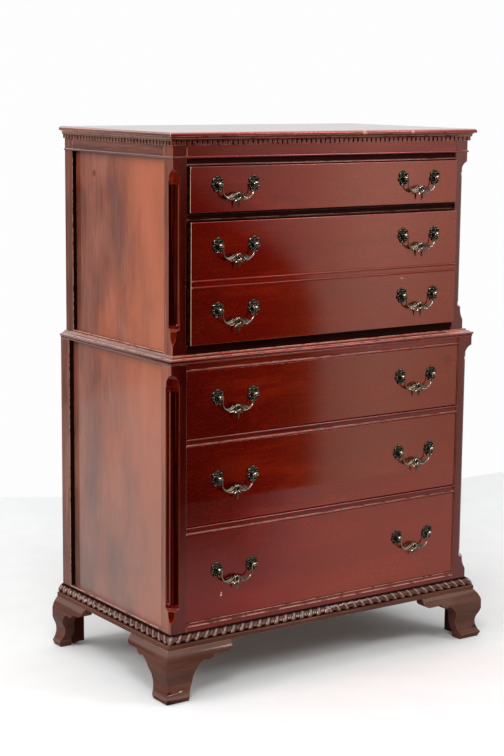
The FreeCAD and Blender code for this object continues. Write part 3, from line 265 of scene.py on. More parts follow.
# noises on the grain: stretch along it and twice across it, detail, roughness, warp
BAND_KIND = (4.0, 0.55, 0.5)
FIBRE = ((12.0, 380.0, 380.0), 3.0, 0.6, 0.1)
CLOUD = ((5.0, 9.0, 9.0), 2.0, 0.5, 0.3)
PORES = ((70.0, 1500.0, 1500.0), 2.0, 0.5, 0.0)
RUBBED = ((30.0, 30.0, 90.0), 4.0, 0.65, 0.2)
WAVE = ((3.0, 10.0, 10.0), 1.0, 0.4, 0.0)
DRY_BANDS = ((1.5, 40.0, 40.0), 4.0, 0.6, 0.6)
DRY_FIBRE = ((16.0, 500.0, 500.0), 3.0, 0.6, 0.0)
DRY_PATCHES = ((4.0, 6.0, 6.0), 3.0, 0.6, 0.0)

FIBRE_WEIGHT = 0.30  # the figure's and the clouds' weights make up the rest
TONE_LIMITS = (0.38, 0.62)
PORE_LIMITS = (0.60, 0.70)
PORE_DARKENING = 0.45
RUBBED_LIMITS = (0.36, 0.54)
# crests of carving: paler with wear and a painted highlight
CREST_LIMITS = (0.88, 1.0, 0.0, 0.8)
# hollows of carving: painted shade
HOLLOW_SHADE_LIMITS = (0.12, 0.55, 0.95, 0.0)
CREVICE_REACH = 0.011
CREVICE_LIMITS = (0.45, 0.90)
CREVICE_SAMPLES = 8
GLOSS_PLAY = 0.10  # how much clouds and pores vary the roughness
DULLING = 0.5  # how much the painted shade and grime add to it
FIBRE_GLEAM_IOR = 1.95
WAVE_BUMP = (0.02, 0.0012)  # strength, distance
FIBRE_BUMP = (0.15, 0.00025)
DRY_BUMP = (0.35, 0.0004)


def wood_place(tree, grain):
    """Object coordinates turned so that their first axis runs along the grain."""
    turn = {"Vector": here(tree), "Rotation": GRAIN_TURN[grain]}
    return shader(tree, "Mapping", turn).outputs[0]


def crevice_grime_and_shade(tree, share):
    """Painted shade and grime: share deep in the piece's own inner corners and 0 on its open faces.
    """
    shut = shader(tree, "AmbientOcclusion", {"Distance": CREVICE_REACH}, samples=CREVICE_SAMPLES,
                  only_local=True)
    return spread(tree, shut.outputs["AO"], *CREVICE_LIMITS, share, 0.0)


def mahogany(name, grain, wood=RAIL_RED, band=22.0, reach=1.4, figure=0.5, rough=0.20, coat=1.0,
             coat_rough=0.07, sheen=1.0, wear_and_highlight=0.0, carved=False, grime_and_shade=0.8, marks=None, painted_shade=None,
             shift=(0.0, 0.0, 0.0)):
    """Polished mahogany: broad bands, fine fibre and cloudy patches set the tone of the wood, and
    pores pit the polish. Under it the fibres throw back a red gleam, which sheen sets. band and
    reach are how many figure bands there are in a metre across and along the grain, figure is their
    weight, and wear lays pale bare wood over the polish, which also paints the highlights of the
    arrises. Carving is paler on its crests, with wear and a painted highlight, and painted shade
    darkens its hollows. Painted shade and grime darken the inner corners by soiled, soot gives the
    share of painted shade on other faces, and marks lays stains and nicks. Where the wood is
    darkened, the polish is duller and the coat thinner."""
    material, tree = new_material("mahogany_" + name)
    place = wood_place(tree, grain)
    bands = noise(tree, place, (reach, band, band), *BAND_KIND, shift)
    fibre, cloud, pores = (noise(tree, place, *kind, shift) for kind in (FIBRE, CLOUD, PORES))
    tone = times_plus(tree, fibre, FIBRE_WEIGHT, product(tree, bands, figure))
    tone = times_plus(tree, cloud, 1.0 - FIBRE_WEIGHT - figure, tone)
    tone = spread(tree, tone, *TONE_LIMITS)
    dark, middle, light = wood
    colour = mixed(tree, spread(tree, tone, 0.0, 0.5), dark, middle)
    colour = mixed(tree, spread(tree, tone, 0.5, 1.0), colour, light)
    pitted = spread(tree, pores, *PORE_LIMITS)
    colour = mixed(tree, product(tree, pitted, PORE_DARKENING), colour, dark)
    polish = times_plus(tree, cloud, GLOSS_PLAY, rough - 0.5 * GLOSS_PLAY)
    polish = times_plus(tree, pitted, GLOSS_PLAY, polish)
    clear = coat
    # painted shade and grime in the piece's inner corners
    darkenings = [crevice_grime_and_shade(tree, grime_and_shade)] if grime_and_shade else []
    if wear_and_highlight:
        rubbed = noise(tree, place, *RUBBED, shift)
        colour = mixed(tree, spread(tree, rubbed, *RUBBED_LIMITS, 0.0, wear_and_highlight), colour, BARE_WOOD_AND_HIGHLIGHT)
    if carved:
        proud = carved_height(tree)
        colour = mixed(tree, spread(tree, proud, *CREST_LIMITS), colour, CREST_WEAR_AND_HIGHLIGHT)
        # painted shade in the hollows of the carving
        darkenings.append(spread(tree, proud, *HOLLOW_SHADE_LIMITS))
    if marks:
        colour = marks(tree, colour)
    if painted_shade:
        darkenings.append(painted_shade(tree))
    # every darkening here is painted shade, with grime in the inner corners
    if darkenings:
        dull = largest(tree, *darkenings)
        colour = mixed(tree, dull, colour, SHADE_AND_GRIME)
        polish = times_plus(tree, dull, DULLING, polish)
        clear = times_plus(tree, dull, -coat, coat) if coat else coat
    relief = bump(tree, noise(tree, place, *WAVE, shift), *WAVE_BUMP)
    relief = bump(tree, less(tree, fibre, pitted), *FIBRE_BUMP, relief)
    return finished(material, tree, {
        "Base Color": colour, "Roughness": polish, "Normal": relief, "IOR": FIBRE_GLEAM_IOR,
        "Specular IOR Level": sheen, "Specular Tint": UNDER_POLISH, "Coat Weight": clear,
        "Coat Roughness": coat_rough})


def plain_wood(name, grain, shift=(0.0, 0.0, 0.0)):
    """Dry, unpolished board: pale brown with long darker growth lines, stains and no gloss."""
    material, tree = new_material("dry_boards_" + name)
    place = wood_place(tree, grain)
    bands, fibre, patches = (noise(tree, place, *kind, shift)
                             for kind in (DRY_BANDS, DRY_FIBRE, DRY_PATCHES))
    tone = times_plus(tree, fibre, 0.35, product(tree, bands, 0.65))
    colour = mixed(tree, spread(tree, tone, 0.34, 0.66), DRY_DARK, DRY_LIGHT)
    colour = mixed(tree, spread(tree, patches, 0.5, 0.75, 0.0, 0.5), colour, DRY_STAIN)
    return finished(material, tree, {
        "Base Color": colour, "Roughness": 0.72, "Normal": bump(tree, fibre, *DRY_BUMP),
        "Specular IOR Level": 0.3})


# ---------------- painted shade, painted light and marks of use

UPPER_HALF = 0.4535  # half the width of the upper stage
UPPER_FRONT = -0.2325  # y of its front
UPPER_RAIL_FACE = -0.2285  # y of the flat of its drawer rails
DIVIDED_FACE = DRAWER_FACES[2] * MM

# from, to, share at the first, share at the second
FORWARD_SHADE = (-0.90, -0.60, 0.97, 0.0)  # by the y of the normal
RAIL_SHADOW = (UPPER_RAIL_FACE - 0.0012, UPPER_RAIL_FACE - 0.0002, 0.0, 0.97)  # by y
RAIL_BEAD_SHADOW = (1.20, 1.26, 0.78, 0.0)  # by height
DIVIDE_SHADE = (DIVIDED_FACE - 0.0012, DIVIDED_FACE - 0.0004, 0.60, 0.0)  # by y
DENTIL_SHADE = (0.0014, 0.0030, 0.95, 0.0)  # by how far it stands out
BOX_SHADE = (-0.200, -0.120, 0.98, 0.0)  # by y
ARRIS_SHADE = (0.0020, 0.0040)  # behind the face
PANEL_LIGHT_SPREAD = (-0.20, 0.16, 0.62, 0.0)  # by y
PANEL_GREYING = (0.25, 1.00, 0.42, 0.05)  # by height
LEFT_END_SHADE = (-0.44, -0.14, 0.80, 0.0)  # by x
RIGHT_END_SHADE = (0.20, 0.46, 0.0, 0.55)
RIGHT_LIGHT = (-0.22, 0.10, 0.0, 0.45)
CHIP_LIMITS = (0.66, 0.74, 0.0, 0.8)  # by noise

PANEL_DRIFT = ((6.0, 7.0, 3.5), 5.0, 0.62, 0.3)
LIGHT_DRIFT = 0.75  # how far the drift moves the edge of the painted light
GREYING_DRIFT = 0.6  # and how much it varies the greying
CHIPS = ((28.0, 90.0, 160.0), 4.0, 0.7, 0.2, (0.0, 3.0, 6.0))
RAGGED_EDGE = ((300.0, 300.0, 90.0), 3.0, 0.6)
RAGGED_DEPTH = 0.0030
PALE_BAND_DEPTH = (0.0036, 0.0048, 1.0, 0.0)

# noise, limits and colour
FRONT_CLOUDS = (
    (((3.5, 1.0, 14.0), 5.0, 0.65, 0.6, (8.8, 0.0, 2.2)), (0.52, 0.68, 0.0, 0.55), ORANGE_CLOUD),
    (((5.0, 1.0, 11.0), 4.0, 0.60, 0.4, (1.8, 0.0, 5.2)), (0.52, 0.70, 0.0, 0.70), DARK_CLOUD))

# centre, radius, cover and colour
FRONT_MARKS = (((0.0374, -0.2465, 0.9891), 0.0055, 0.9, KNOT),
               ((0.3926, -0.2485, 0.7646), 0.0200, 0.7, KNOT),
               ((0.2290, -0.2465, 0.9915), 0.0026, 0.9, PALE),
               ((0.2345, -0.2465, 0.9895), 0.0020, 0.9, PALE),
               ((-0.3219, -0.2485, 0.2402), 0.0040, 1.0, PALE),
               ((-0.3210, -0.2485, 0.2460), 0.0028, 1.0, PALE))
NOSE_MARKS = (((0.0988, -0.2495, 1.3601), 0.0090, 0.8, BARE_WOOD_AND_HIGHLIGHT),
              ((0.2533, -0.2495, 1.3609), 0.0070, 0.7, BARE_WOOD_AND_HIGHLIGHT))
PANEL_MARKS = (((-0.448, 0.1556, 1.2539), 0.0140, 0.75, RING_STAIN),)


def marked(tree, place, colour, marks):
    """The colour under soft round spots. Each keeps its cover out to half its radius and fades away
    at its radius."""
    for centre, radius, cover, tint in marks:
        gap = shader(tree, "VectorMath", {0: place, 1: centre}, operation="DISTANCE")
        share = spread(tree, gap.outputs["Value"], 0.5 * radius, radius, cover, 0.0)
        colour = mixed(tree, share, colour, tint)
    return colour


def shade_on_forward_faces(tree):
    """Painted shade, near black, on faces that look along -Y, in the corner behind them."""
    normal = shader(tree, "NewGeometry").outputs["Normal"]
    return spread(tree, axes(tree, normal)[1], *FORWARD_SHADE)


def painted_rail_shadow(tree):
    """Painted shadow on the flat of the upper drawer rails, and thinner on all beads but the
    topmost.
    """
    _, y, z = axes(tree, here(tree))
    return largest(tree, spread(tree, z, *RAIL_BEAD_SHADOW), spread(tree, y, *RAIL_SHADOW))


def shade_between_dentils(tree):
    """Painted shade on the backing, which stands less far out of the upper stage than the dentils.
    """
    x, y, _ = axes(tree, here(tree))
    aside = less(tree, maths(tree, "ABSOLUTE", x), UPPER_HALF)
    return spread(tree, largest(tree, aside, less(tree, UPPER_FRONT, y)), *DENTIL_SHADE)


def shaded_divide_beads(tree):
    """Painted shade on the pair of beads that stand out of the divided front."""
    return spread(tree, axes(tree, here(tree))[1], *DIVIDE_SHADE)


def shade_behind_fronts(tree):
    """Painted shade on the drawer boxes, darkest just behind the fronts."""
    return spread(tree, axes(tree, here(tree))[1], *BOX_SHADE)


def lit_and_greyed_panel(tree, colour):
    """Painted light brightens the panel towards its front edge, and it turns greyer towards the
    floor.
    """
    place = here(tree)
    _, y, z = axes(tree, place)
    drift = less(tree, noise(tree, place, *PANEL_DRIFT), 0.5)
    lit_share = spread(tree, times_plus(tree, drift, LIGHT_DRIFT, y), *PANEL_LIGHT_SPREAD)
    colour = mixed(tree, lit_share, colour, PANEL_LIGHT)
    greying = times_plus(tree, drift, GREYING_DRIFT, spread(tree, z, *PANEL_GREYING))
    colour = mixed(tree, largest(tree, greying, 0.0), colour, GREY_CAST)
    return marked(tree, place, colour, PANEL_MARKS)


def marked_and_lit_front(tree, colour):
    """Orange and dark clouds, then painted shade towards the ends, most on the left, and painted
    light, browner, on the right. In it are a knot, a dark bruise, two pale specks and a nick."""
    place = here(tree)
    for cloud, limits, tint in FRONT_CLOUDS:
        colour = mixed(tree, spread(tree, noise(tree, place, *cloud), *limits), colour, tint)
    x = axes(tree, place)[0]
    end_shade = largest(tree, spread(tree, x, *LEFT_END_SHADE), spread(tree, x, *RIGHT_END_SHADE))
    colour = mixed(tree, end_shade, colour, FRONT_END_SHADE)
    colour = mixed(tree, spread(tree, x, *RIGHT_LIGHT), colour, FRONT_RIGHT_LIGHT)
    return marked(tree, place, colour, FRONT_MARKS)


def rubbed_moulding(tree, colour):
    """Pale chips along the noses of the top and the waist."""
    place = here(tree)
    chips = spread(tree, noise(tree, place, *CHIPS), *CHIP_LIMITS)
    return marked(tree, place, mixed(tree, chips, colour, BARE_WOOD_AND_HIGHLIGHT), NOSE_MARKS)


# ---------------- the woods of the chest

FRONTS = dict(band=16.0, reach=1.2, figure=0.40, rough=0.235, coat_rough=0.04, marks=marked_and_lit_front)
RAILS = dict(band=26.0, shift=(3.1, 7.7, 1.3))
RUNS = dict(band=26.0, sheen=0.10, shift=(5.2, 2.4, 8.8))
BASES = dict(band=20.0, figure=0.2, rough=0.40, coat=0.40, coat_rough=0.10, sheen=0.0)
POSTS = dict(band=30.0, reach=1.3)
FRONT_POSTS = dict(POSTS, sheen=0.40, shift=(1.7, 4.4, 6.1))
WORN = dict(rough=0.30, sheen=0.05, shift=(9.1, 3.3, 5.5))

front_wood = mahogany("fronts", "x", FRONT_RED, **FRONTS)
divided_front_wood = mahogany("divided_front", "x", FRONT_RED, painted_shade=shaded_divide_beads, **FRONTS)
rail_wood = mahogany("rails", "x", RAIL_RED, reach=1.6, coat=0.75, sheen=0.6,
                     marks=rubbed_moulding, **RAILS)
upper_rail_wood = mahogany("upper_rails", "x", RAIL_RED, sheen=0.10, painted_shade=painted_rail_shadow, **RAILS)
run_wood = mahogany("side_runs", "y", LIT_SIDE_RED, reach=1.6, **RUNS)
dentil_wood = mahogany("dentils", "x", RAIL_RED, sheen=0.6, painted_shade=shade_between_dentils, **RAILS)
dentil_run_wood = mahogany("dentil_runs", "y", LIT_SIDE_RED, painted_shade=shade_between_dentils, **RUNS)
base_wood = mahogany("base", "x", BASE_BROWN, shift=(2.9, 6.1, 4.7), **BASES)
base_run_wood = mahogany("base_runs", "y", BASE_BROWN, shift=(7.2, 1.1, 2.5), **BASES)
base_edge_wood = mahogany("worn_base", "x", BASE_ARRIS, band=60.0, rough=0.45, coat=0.2,
                          sheen=0.0, grime_and_shade=0.3, shift=(3.9, 1.1, 9.7))
post_wood = mahogany("posts", "z", POST_RED, **FRONT_POSTS)
flute_wood = mahogany("flutes", "z", LIT_FLUTE_RED, coat=0.7, grime_and_shade=0.35, **FRONT_POSTS)
post_edge_wood = mahogany("post_arrises", "z", POST_ARRIS, band=60.0, sheen=0.1,
                          grime_and_shade=0.4, shift=(2.7, 5.4, 0.1))
post_side_wood = mahogany("post_sides", "z", LIT_PANEL_RED, sheen=0.10, shift=(4.7, 1.4, 2.1), **POSTS)
back_post_wood = mahogany("back_posts", "z", LIT_SIDE_RED, sheen=0.0, painted_shade=shade_on_forward_faces,
                          shift=(7.7, 8.4, 3.1), **POSTS)
panel_wood = mahogany("panels", "z", LIT_PANEL_RED, band=9.0, reach=0.80, figure=0.18,
                      sheen=0.10, marks=lit_and_greyed_panel, shift=(2.2, 0.6, 3.9))
# the arrises: pale wear that also paints their highlights
worn_and_highlit_wood = mahogany("worn_and_highlit_edges", "x", RAIL_RED, wear_and_highlight=0.92, coat=0.5, **WORN)
carved_wood = mahogany("carving", "x", BASE_BROWN, carved=True, rough=0.40, coat=0.85,
                       coat_rough=0.10, sheen=0.0, grime_and_shade=0.5, shift=(6.1, 1.3, 7.5))
stained_wood = mahogany("unpolished", "z", RAW_BROWN, rough=0.6, coat=0.0, sheen=0.2,
                        shift=(3.3, 2.2, 1.1))
bare_wood = mahogany("bare_boxes", "y", BOX_BROWN, rough=0.6, coat=0.0, sheen=0.1,
                     grime_and_shade=0.3, painted_shade=shade_behind_fronts)


def front_end_wood(face):
    """The end of a drawer front: painted shade makes it near black, but it is pale along its outer
    edge, which lies at y = face, with wear and a painted highlight."""
    def worn_and_lit_edge(tree, colour):
        place = here(tree)
        ragged = noise(tree, place, *RAGGED_EDGE)
        behind = times_plus(tree, ragged, RAGGED_DEPTH, less(tree, axes(tree, place)[1], face))
        return mixed(tree, spread(tree, behind, *PALE_BAND_DEPTH), colour, BARE_WOOD_AND_HIGHLIGHT)
    return mahogany("front_ends", "z", END_SHADE_BLACK, rough=0.5, coat=0.0, sheen=0.0,
                    grime_and_shade=0.0, marks=worn_and_lit_edge)


def front_edge_wood(face):
    """The arrises of a drawer front: pale bare wood round its face, at y = face, which also paints
    their highlight, and black with painted shade behind."""
    def shade_behind_face(tree):
        y = axes(tree, here(tree))[1]
        return spread(tree, y, *(face + depth for depth in ARRIS_SHADE), 0.0, 0.99)
    return mahogany("front_arrises", "x", RAIL_RED, wear_and_highlight=0.80, coat=0.8, painted_shade=shade_behind_face, **WORN)


board_wood = plain_wood("long", "x")
upright_board_wood = plain_wood("upright", "z", (4.0, 1.0, 2.0))
deep_board_wood = plain_wood("deep", "y", (1.0, 6.0, 3.0))


# ---------------- metal

def antique_brass(name):
    """Old brass: nearly black in the hollows, rubbed to a pale grey-gold where it stands proud."""
    material, tree = new_material(name)
    patina = noise(tree, here(tree), (260.0, 260.0, 260.0), 4.0, 0.6)
    tone = times_plus(tree, less(tree, patina, 0.5), 0.9, carved_height(tree))
    rubbed = spread(tree, tone, 0.55, 0.95)
    return finished(material, tree, {
        "Base Color": mixed(tree, rubbed, PATINA, RUBBED_BRASS), "Metallic": 0.9,
        "Normal": bump(tree, patina, 0.25, 0.0003),
        "Roughness": spread(tree, rubbed, 0.0, 1.0, 0.42, 0.16)})


def plain_steel(name):
    """Bright screw steel with fine turning marks."""
    material, tree = new_material(name)
    marks = noise(tree, here(tree), (900.0, 900.0, 120.0), 2.0, 0.5)
    return finished(material, tree, {
        "Base Color": mixed(tree, marks, STEEL_DARK, STEEL_LIGHT), "Metallic": 1.0,
        "Roughness": spread(tree, marks, 0.3, 0.7, 0.28, 0.45)})


brass = antique_brass("antique_brass")
steel = plain_steel("screw_steel")


# ---------------- softened wood

MERGE_WITHIN = 1e-6
FLAT_WITHIN = math.radians(0.5)
ARRIS_TURN = math.radians(30)
ARRIS_STEPS = 2
MAIN_SLOT, EDGE_SLOT, SIDE_SLOT, OBLIQUE_SLOT = range(4)
LEVEL = 0.2  # faces whose normal has less than this to a side are level there
SIDE_LEAD = 0.3  # by how much a sideways face looks more sideways than ahead
STRAIGHT_AHEAD = 0.97
SIDE_RUN_FROM = 0.42  # the side runs lie further out than this


def face_values(mesh, kind):
    """The normal or the centre of every face: all x, all y and all z."""
    values = np.zeros(len(mesh.polygons) * 3)
    mesh.polygons.foreach_get(kind, values)
    return values.reshape(-1, 3).T


def shade_smooth(mesh, sharp_from):
    """Smooth faces, with a sharp edge wherever two meet at a larger angle than sharp_from."""
    mesh.polygons.foreach_set("use_smooth", np.ones(len(mesh.polygons), bool))
    mesh.set_sharp_from_angle(angle=sharp_from)


def softened(node, width, main, side=None, edge=worn_and_highlit_wood, oblique=None, slot="mahogany"):
    """A copy of a wooden node with its arrises rounded by width. Faces that look more sideways than
    ahead, and level faces of the side runs, take the side finish. Those that look both ways take
    the oblique finish, and the rounded arrises the edge finish. Where the side and oblique finishes
    are lighter tones of the main wood, they paint the light that falls on those faces."""
    mesh = nodes[node].data.copy()
    mesh.name = node + "_softened"
    shape = bmesh.new()
    shape.from_mesh(mesh)
    bmesh.ops.remove_doubles(shape, verts=shape.verts, dist=MERGE_WITHIN)
    bmesh.ops.dissolve_limit(shape, angle_limit=FLAT_WITHIN, verts=shape.verts, edges=shape.edges)
    shape.to_mesh(mesh)
    shape.free()
    mesh.materials.clear()
    for finish in (main, edge, side or main, oblique or main):
        mesh.materials.append(finish)
    across, ahead, _ = np.abs(face_values(mesh, "normal"))
    far_out = np.abs(face_values(mesh, "center")[0]) > SIDE_RUN_FROM
    on_side_run = (across < LEVEL) & (ahead < LEVEL) & far_out
    sideways = (across > np.maximum(ahead + SIDE_LEAD, LEVEL)) | on_side_run
    askew = ~sideways & (ahead > LEVEL) & (ahead < STRAIGHT_AHEAD)
    slots = np.where(sideways, SIDE_SLOT, np.where(askew, OBLIQUE_SLOT, MAIN_SLOT))
    mesh.polygons.foreach_set("material_index", slots.astype(np.int32))
    shade_smooth(mesh, ARRIS_TURN)
    piece = new_object(mesh.name, mesh)
    arris = piece.modifiers.new("softened arrises", "BEVEL")
    arris.width = width
    arris.segments = ARRIS_STEPS
    arris.limit_method = "ANGLE"
    arris.angle_limit = ARRIS_TURN
    arris.material = EDGE_SLOT
    arris.use_clamp_overlap = False
    flat = piece.modifiers.new("flat faces stay flat", "WEIGHTED_NORMAL")
    flat.mode = "FACE_AREA"
    flat.weight = 100
    flat.keep_sharp = True
    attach(piece, body_of[node])
    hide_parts(node)
    return piece


def refinish(finish, *members):
    """Gives nodes that keep their own mesh a better material."""
    for node in members:
        mesh = nodes[node].data
        mesh.materials.clear()
        mesh.materials.append(finish)


BASE_WOODS = (base_wood, base_run_wood, base_edge_wood)

# width of the arrises, finishes and nodes
SOFTENED = (
    (0.0008, (post_wood, post_side_wood, post_edge_wood, flute_wood),
     ("upper_front_posts", "lower_front_posts")),
    (0.0006, (back_post_wood,), ("upper_back_posts", "lower_back_posts")),
    (0.0005, (panel_wood,), ("upper_side_panels", "lower_side_panels")),
    (0.0009, (rail_wood, run_wood),
     ("top_board", "astragal_moulding", "frieze_rails", "upper_frame_rails", "waist_moulding",
      "lower_frame_rails", "lower_drawer_rails")),
    (0.0005, (dentil_wood, dentil_run_wood), ("dentil_moulding",)),
    (0.0006, (upper_rail_wood, run_wood), ("upper_drawer_rails",)),
    (0.0005, BASE_WOODS, ("base_frame",)),
    (0.0010, BASE_WOODS, ("front_feet",)),
    (0.0005, BASE_WOODS, ("back_feet",)))
FRONT_ARRIS = 0.0011

for width, finishes, members in SOFTENED:
    for node in members:
        softened(node, width, *finishes)
for number, face in DRAWER_FACES.items():
    softened(f"drawer_{number}_front", FRONT_ARRIS,
             divided_front_wood if number == 2 else front_wood,
             front_end_wood(face * MM), front_edge_wood(face * MM))

refinish(upright_board_wood, "upper_back_planks", "lower_back_planks")
refinish(stained_wood, "glue_blocks")
refinish(deep_board_wood, "upper_runners", "lower_runners")
refinish(board_wood, "upper_bottom_board", "lower_top_board", "drawer_stops")
refinish(bare_wood, *(f"drawer_{number}_box" for number in DRAWER_FACES))
refinish(board_wood, *(f"drawer_{number}_bottom" for number in DRAWER_FACES))
refinish(steel, "case_screws")


# ---------------- surfaces worked out on grids

SHARP_FOLD = math.radians(40)


def ease(value, low, high):
    """0 below low, 1 above high and an S-shaped rise between them."""
    share = np.clip((value - low) / (high - low), 0.0, 1.0)
    return share * share * (3.0 - 2.0 * share)


def bell(offset, width):
    """1 where offset is 0, and a bell-shaped fall to both sides."""
    return np.exp(-(offset / width) ** 2)


def skin(points, proud=0.5, loop=False):
    """A closed surface from a grid of points (rows, columns, 3): every row is a ring round the
    piece, quads join each row to the next, and a fan from its middle closes the first and the last
    row unless loop joins them. proud says, for each point, how far it stands out of its
    surroundings, from 0 to 1. Faces are turned to point outwards."""
    rows, columns, _ = points.shape
    index = np.arange(rows * columns).reshape(rows, columns)
    index = np.concatenate([index, index[:, :1]], axis=1)
    if loop:
        index = np.concatenate([index, index[:1]], axis=0)
    quads = np.stack([index[:-1, :-1], index[:-1, 1:], index[1:, 1:], index[1:, :-1]], axis=-1)
    quads = quads.reshape(-1, 4)
    corners = points.reshape(-1, 3)
    proud = np.broadcast_to(proud, (rows, columns)).reshape(-1)
    fans = np.zeros((0, 3), int)
    if not loop:
        first_middle, last_middle = (np.full(columns, rows * columns + end) for end in (0, 1))
        first = np.stack([index[0, 1:], index[0, :-1], first_middle], axis=-1)
        last = np.stack([index[-1, :-1], index[-1, 1:], last_middle], axis=-1)
        fans = np.concatenate([first, last])
        proud = np.concatenate([proud, proud[:1], proud[-1:]])
        middles = np.stack([points[0].mean(axis=0), points[-1].mean(axis=0)])
        corners = np.concatenate([corners, middles])
    triangles = np.concatenate([quads[:, [0, 1, 2]], quads[:, [0, 2, 3]], fans])
    a, b, c = (corners[triangles[:, k]] - corners[0] for k in range(3))
    if np.einsum("ij,ij->i", a, np.cross(b, c)).sum() < 0:
        quads, fans = quads[:, ::-1], fans[:, ::-1]
    return corners, quads, fans, proud


def made_piece(name, skins, finish, body, replaced):
    """One object from several closed surfaces given in millimetres."""
    corners, quads, fans, proud = zip(*skins)
    starts = np.cumsum([0] + [len(part) for part in corners[:-1]])
    faces = sum(((four + start).tolist() + (three + start).tolist()
                 for four, three, start in zip(quads, fans, starts)), [])
    mesh = bpy.data.meshes.new(name)
    mesh.from_pydata((np.concatenate(corners) * MM).tolist(), [], faces)
    height = mesh.attributes.new("proud", "FLOAT", "POINT")
    height.data.foreach_set("value", np.concatenate(proud).astype(np.float32))
    shade_smooth(mesh, SHARP_FOLD)
    mesh.materials.append(finish)
    mesh.update()
    piece = new_object(name, mesh)
    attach(piece, body)
    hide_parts(replaced)
    return piece


# ---------------- gadrooned moulding (millimetres)

CASE_HALF = 470.0
CASE_FRONT = 252.5
CASE_DEPTH = 538.0
GADROON_FOOT = 142.0  # height of its foot over the floor
GADROON_RISE = 21.5
GADROON_REACH = 15.0
GADROON_LINE = ((GADROON_REACH, 0.0), (11.5, 13.0), (2.0, GADROON_RISE))  # foot, belly, top edge
LOBE_PITCH = 26.6
LOBE_LEAN = 0.36
LOBE_SHARE = 0.60
LOBE_END = 6.0  # height of the rounded end of a bold lobe
LOBE_END_DROP = 0.9
REED_BASE = 0.10
REED_RISE = 0.55
REEDS_FROM = (3.0, 9.0)
CARVING_DEPTH = 5.0
CARVED_TO = (0.90, 1.00)  # shares of the rise over which the carving ends
TOP_SHADE_TO = (0.80, 0.92)  # and over which proud falls, for painted shade along the top edge
TOP_SHADE_DROP = 0.9
MITRE_LEAF = (2.0, 14.0)  # distances from the corner over which the carving sets in
MITRE_CARVING = 0.25
FOOT_HELD = 4.0  # height above which the carving also lowers the surface
FOOT_PROUD = 0.6
RISE_STEPS = 17
STEPS_PER_LOBE = 24


def gadroon_profile():
    """Projection and rise of the uncarved round, and the angle at each: the arc of the circle
    through its foot, its belly and its top edge."""
    foot, belly, top = (np.array(point) for point in GADROON_LINE)
    system = np.array((belly - foot, top - belly))
    squares = np.array((belly @ belly - foot @ foot, top @ top - belly @ belly))
    centre = np.linalg.solve(system, 0.5 * squares)
    start, end = (math.atan2(*(point - centre)[::-1]) for point in (foot, top))
    angle = np.linspace(start, end, RISE_STEPS)
    arc = np.stack([np.cos(angle), np.sin(angle)], axis=-1)
    return centre + np.linalg.norm(foot - centre) * arc, angle


def lobe_height(along, rise):
    """How high the carving stands, 0 to 1. Each pitch holds one bold lobe and two fine reeds, which
    all lean by LOBE_LEAN. The bold lobe is half round across and ends at the foot in a quarter of a
    ball; the reeds die into a hollow above it."""
    phase = ((along + LOBE_LEAN * rise) / LOBE_PITCH) % 1.0
    across = 2.0 * phase / LOBE_SHARE - 1.0
    ending = np.clip(1.0 - rise / LOBE_END, 0.0, 1.0)
    bold = np.sqrt(np.clip(1.0 - across ** 2 - LOBE_END_DROP * ending ** 2, 0.0, 1.0))
    fine = ((phase - LOBE_SHARE) / ((1.0 - LOBE_SHARE) / 2.0)) % 1.0
    reeds = REED_BASE + REED_RISE * np.sqrt(np.clip(1.0 - (2.0 * fine - 1.0) ** 2, 0.0, 1.0))
    return np.where(phase < LOBE_SHARE, bold, reeds * ease(rise, *REEDS_FROM))


def carve(along, to_corner):
    """Carved projection, rise and proudness for points along a run. The cut fades out below the top
    edge and near the mitre, where a plain leaf covers the corner. Proudness falls along the top
    edge, which gives it painted shade."""
    line, angle = gadroon_profile()
    round_out, rise = line.T[:, None, :]
    height = lobe_height(along, rise)
    carved_from, carved_to = (share * GADROON_RISE for share in CARVED_TO)
    top_shade_from, top_shade_to = (share * GADROON_RISE for share in TOP_SHADE_TO)
    off_mitre = MITRE_CARVING + (1.0 - MITRE_CARVING) * ease(to_corner, *MITRE_LEAF)
    reach = (1.0 - ease(rise, carved_from, carved_to)) * off_mitre
    depth = CARVING_DEPTH * reach * (1.0 - height)
    projection = round_out - depth * np.cos(angle)
    level = rise - depth * np.sin(angle) * ease(rise, 0.0, FOOT_HELD)
    proud = 1.0 - (1.0 - height) * reach
    # proudness falls along the top edge: painted shade there
    return projection, level, proud * (1.0 - TOP_SHADE_DROP * ease(rise, top_shade_from, top_shade_to))


def closed_run(place, projection, level, proud):
    """Adds the flat top, the hidden back and the foot to the carved face of a run."""
    hidden = np.zeros((len(projection), 1))
    projection = np.concatenate([projection, hidden, hidden], axis=1)
    level = np.concatenate([level, hidden + GADROON_RISE, hidden], axis=1)
    proud = np.concatenate([proud, hidden, hidden + FOOT_PROUD], axis=1)
    return skin(place(projection, level + GADROON_FOOT), proud)


def gadroon_runs():
    """Front run and two side runs, mitred at 45 degrees at the front corners. A run's outer line is
    longer than its inner one, so a point's share of the length is stretched by its projection."""
    half = CASE_HALF + GADROON_REACH
    length = CASE_DEPTH + GADROON_REACH
    across = np.linspace(-1.0, 1.0, int(2 * half / LOBE_PITCH * STEPS_PER_LOBE))[:, None]
    back = np.linspace(0.0, 1.0, int(length / LOBE_PITCH * STEPS_PER_LOBE))[:, None]
    from_middle = np.abs(across * half)
    from_corner = back * length

    def front(out, z):
        return np.stack([across * (CASE_HALF + out), -CASE_FRONT - out, z], axis=-1)

    def right(out, z):
        y = -CASE_FRONT - out + back * (CASE_DEPTH + out)
        return np.stack([CASE_HALF + out, y, z], axis=-1)

    def left(out, z):
        return right(out, z) * np.array((-1.0, 1.0, 1.0))

    side = carve(-from_corner, from_corner)
    return [closed_run(front, *carve(from_middle, half - from_middle)),
            closed_run(right, *side), closed_run(left, *side)]


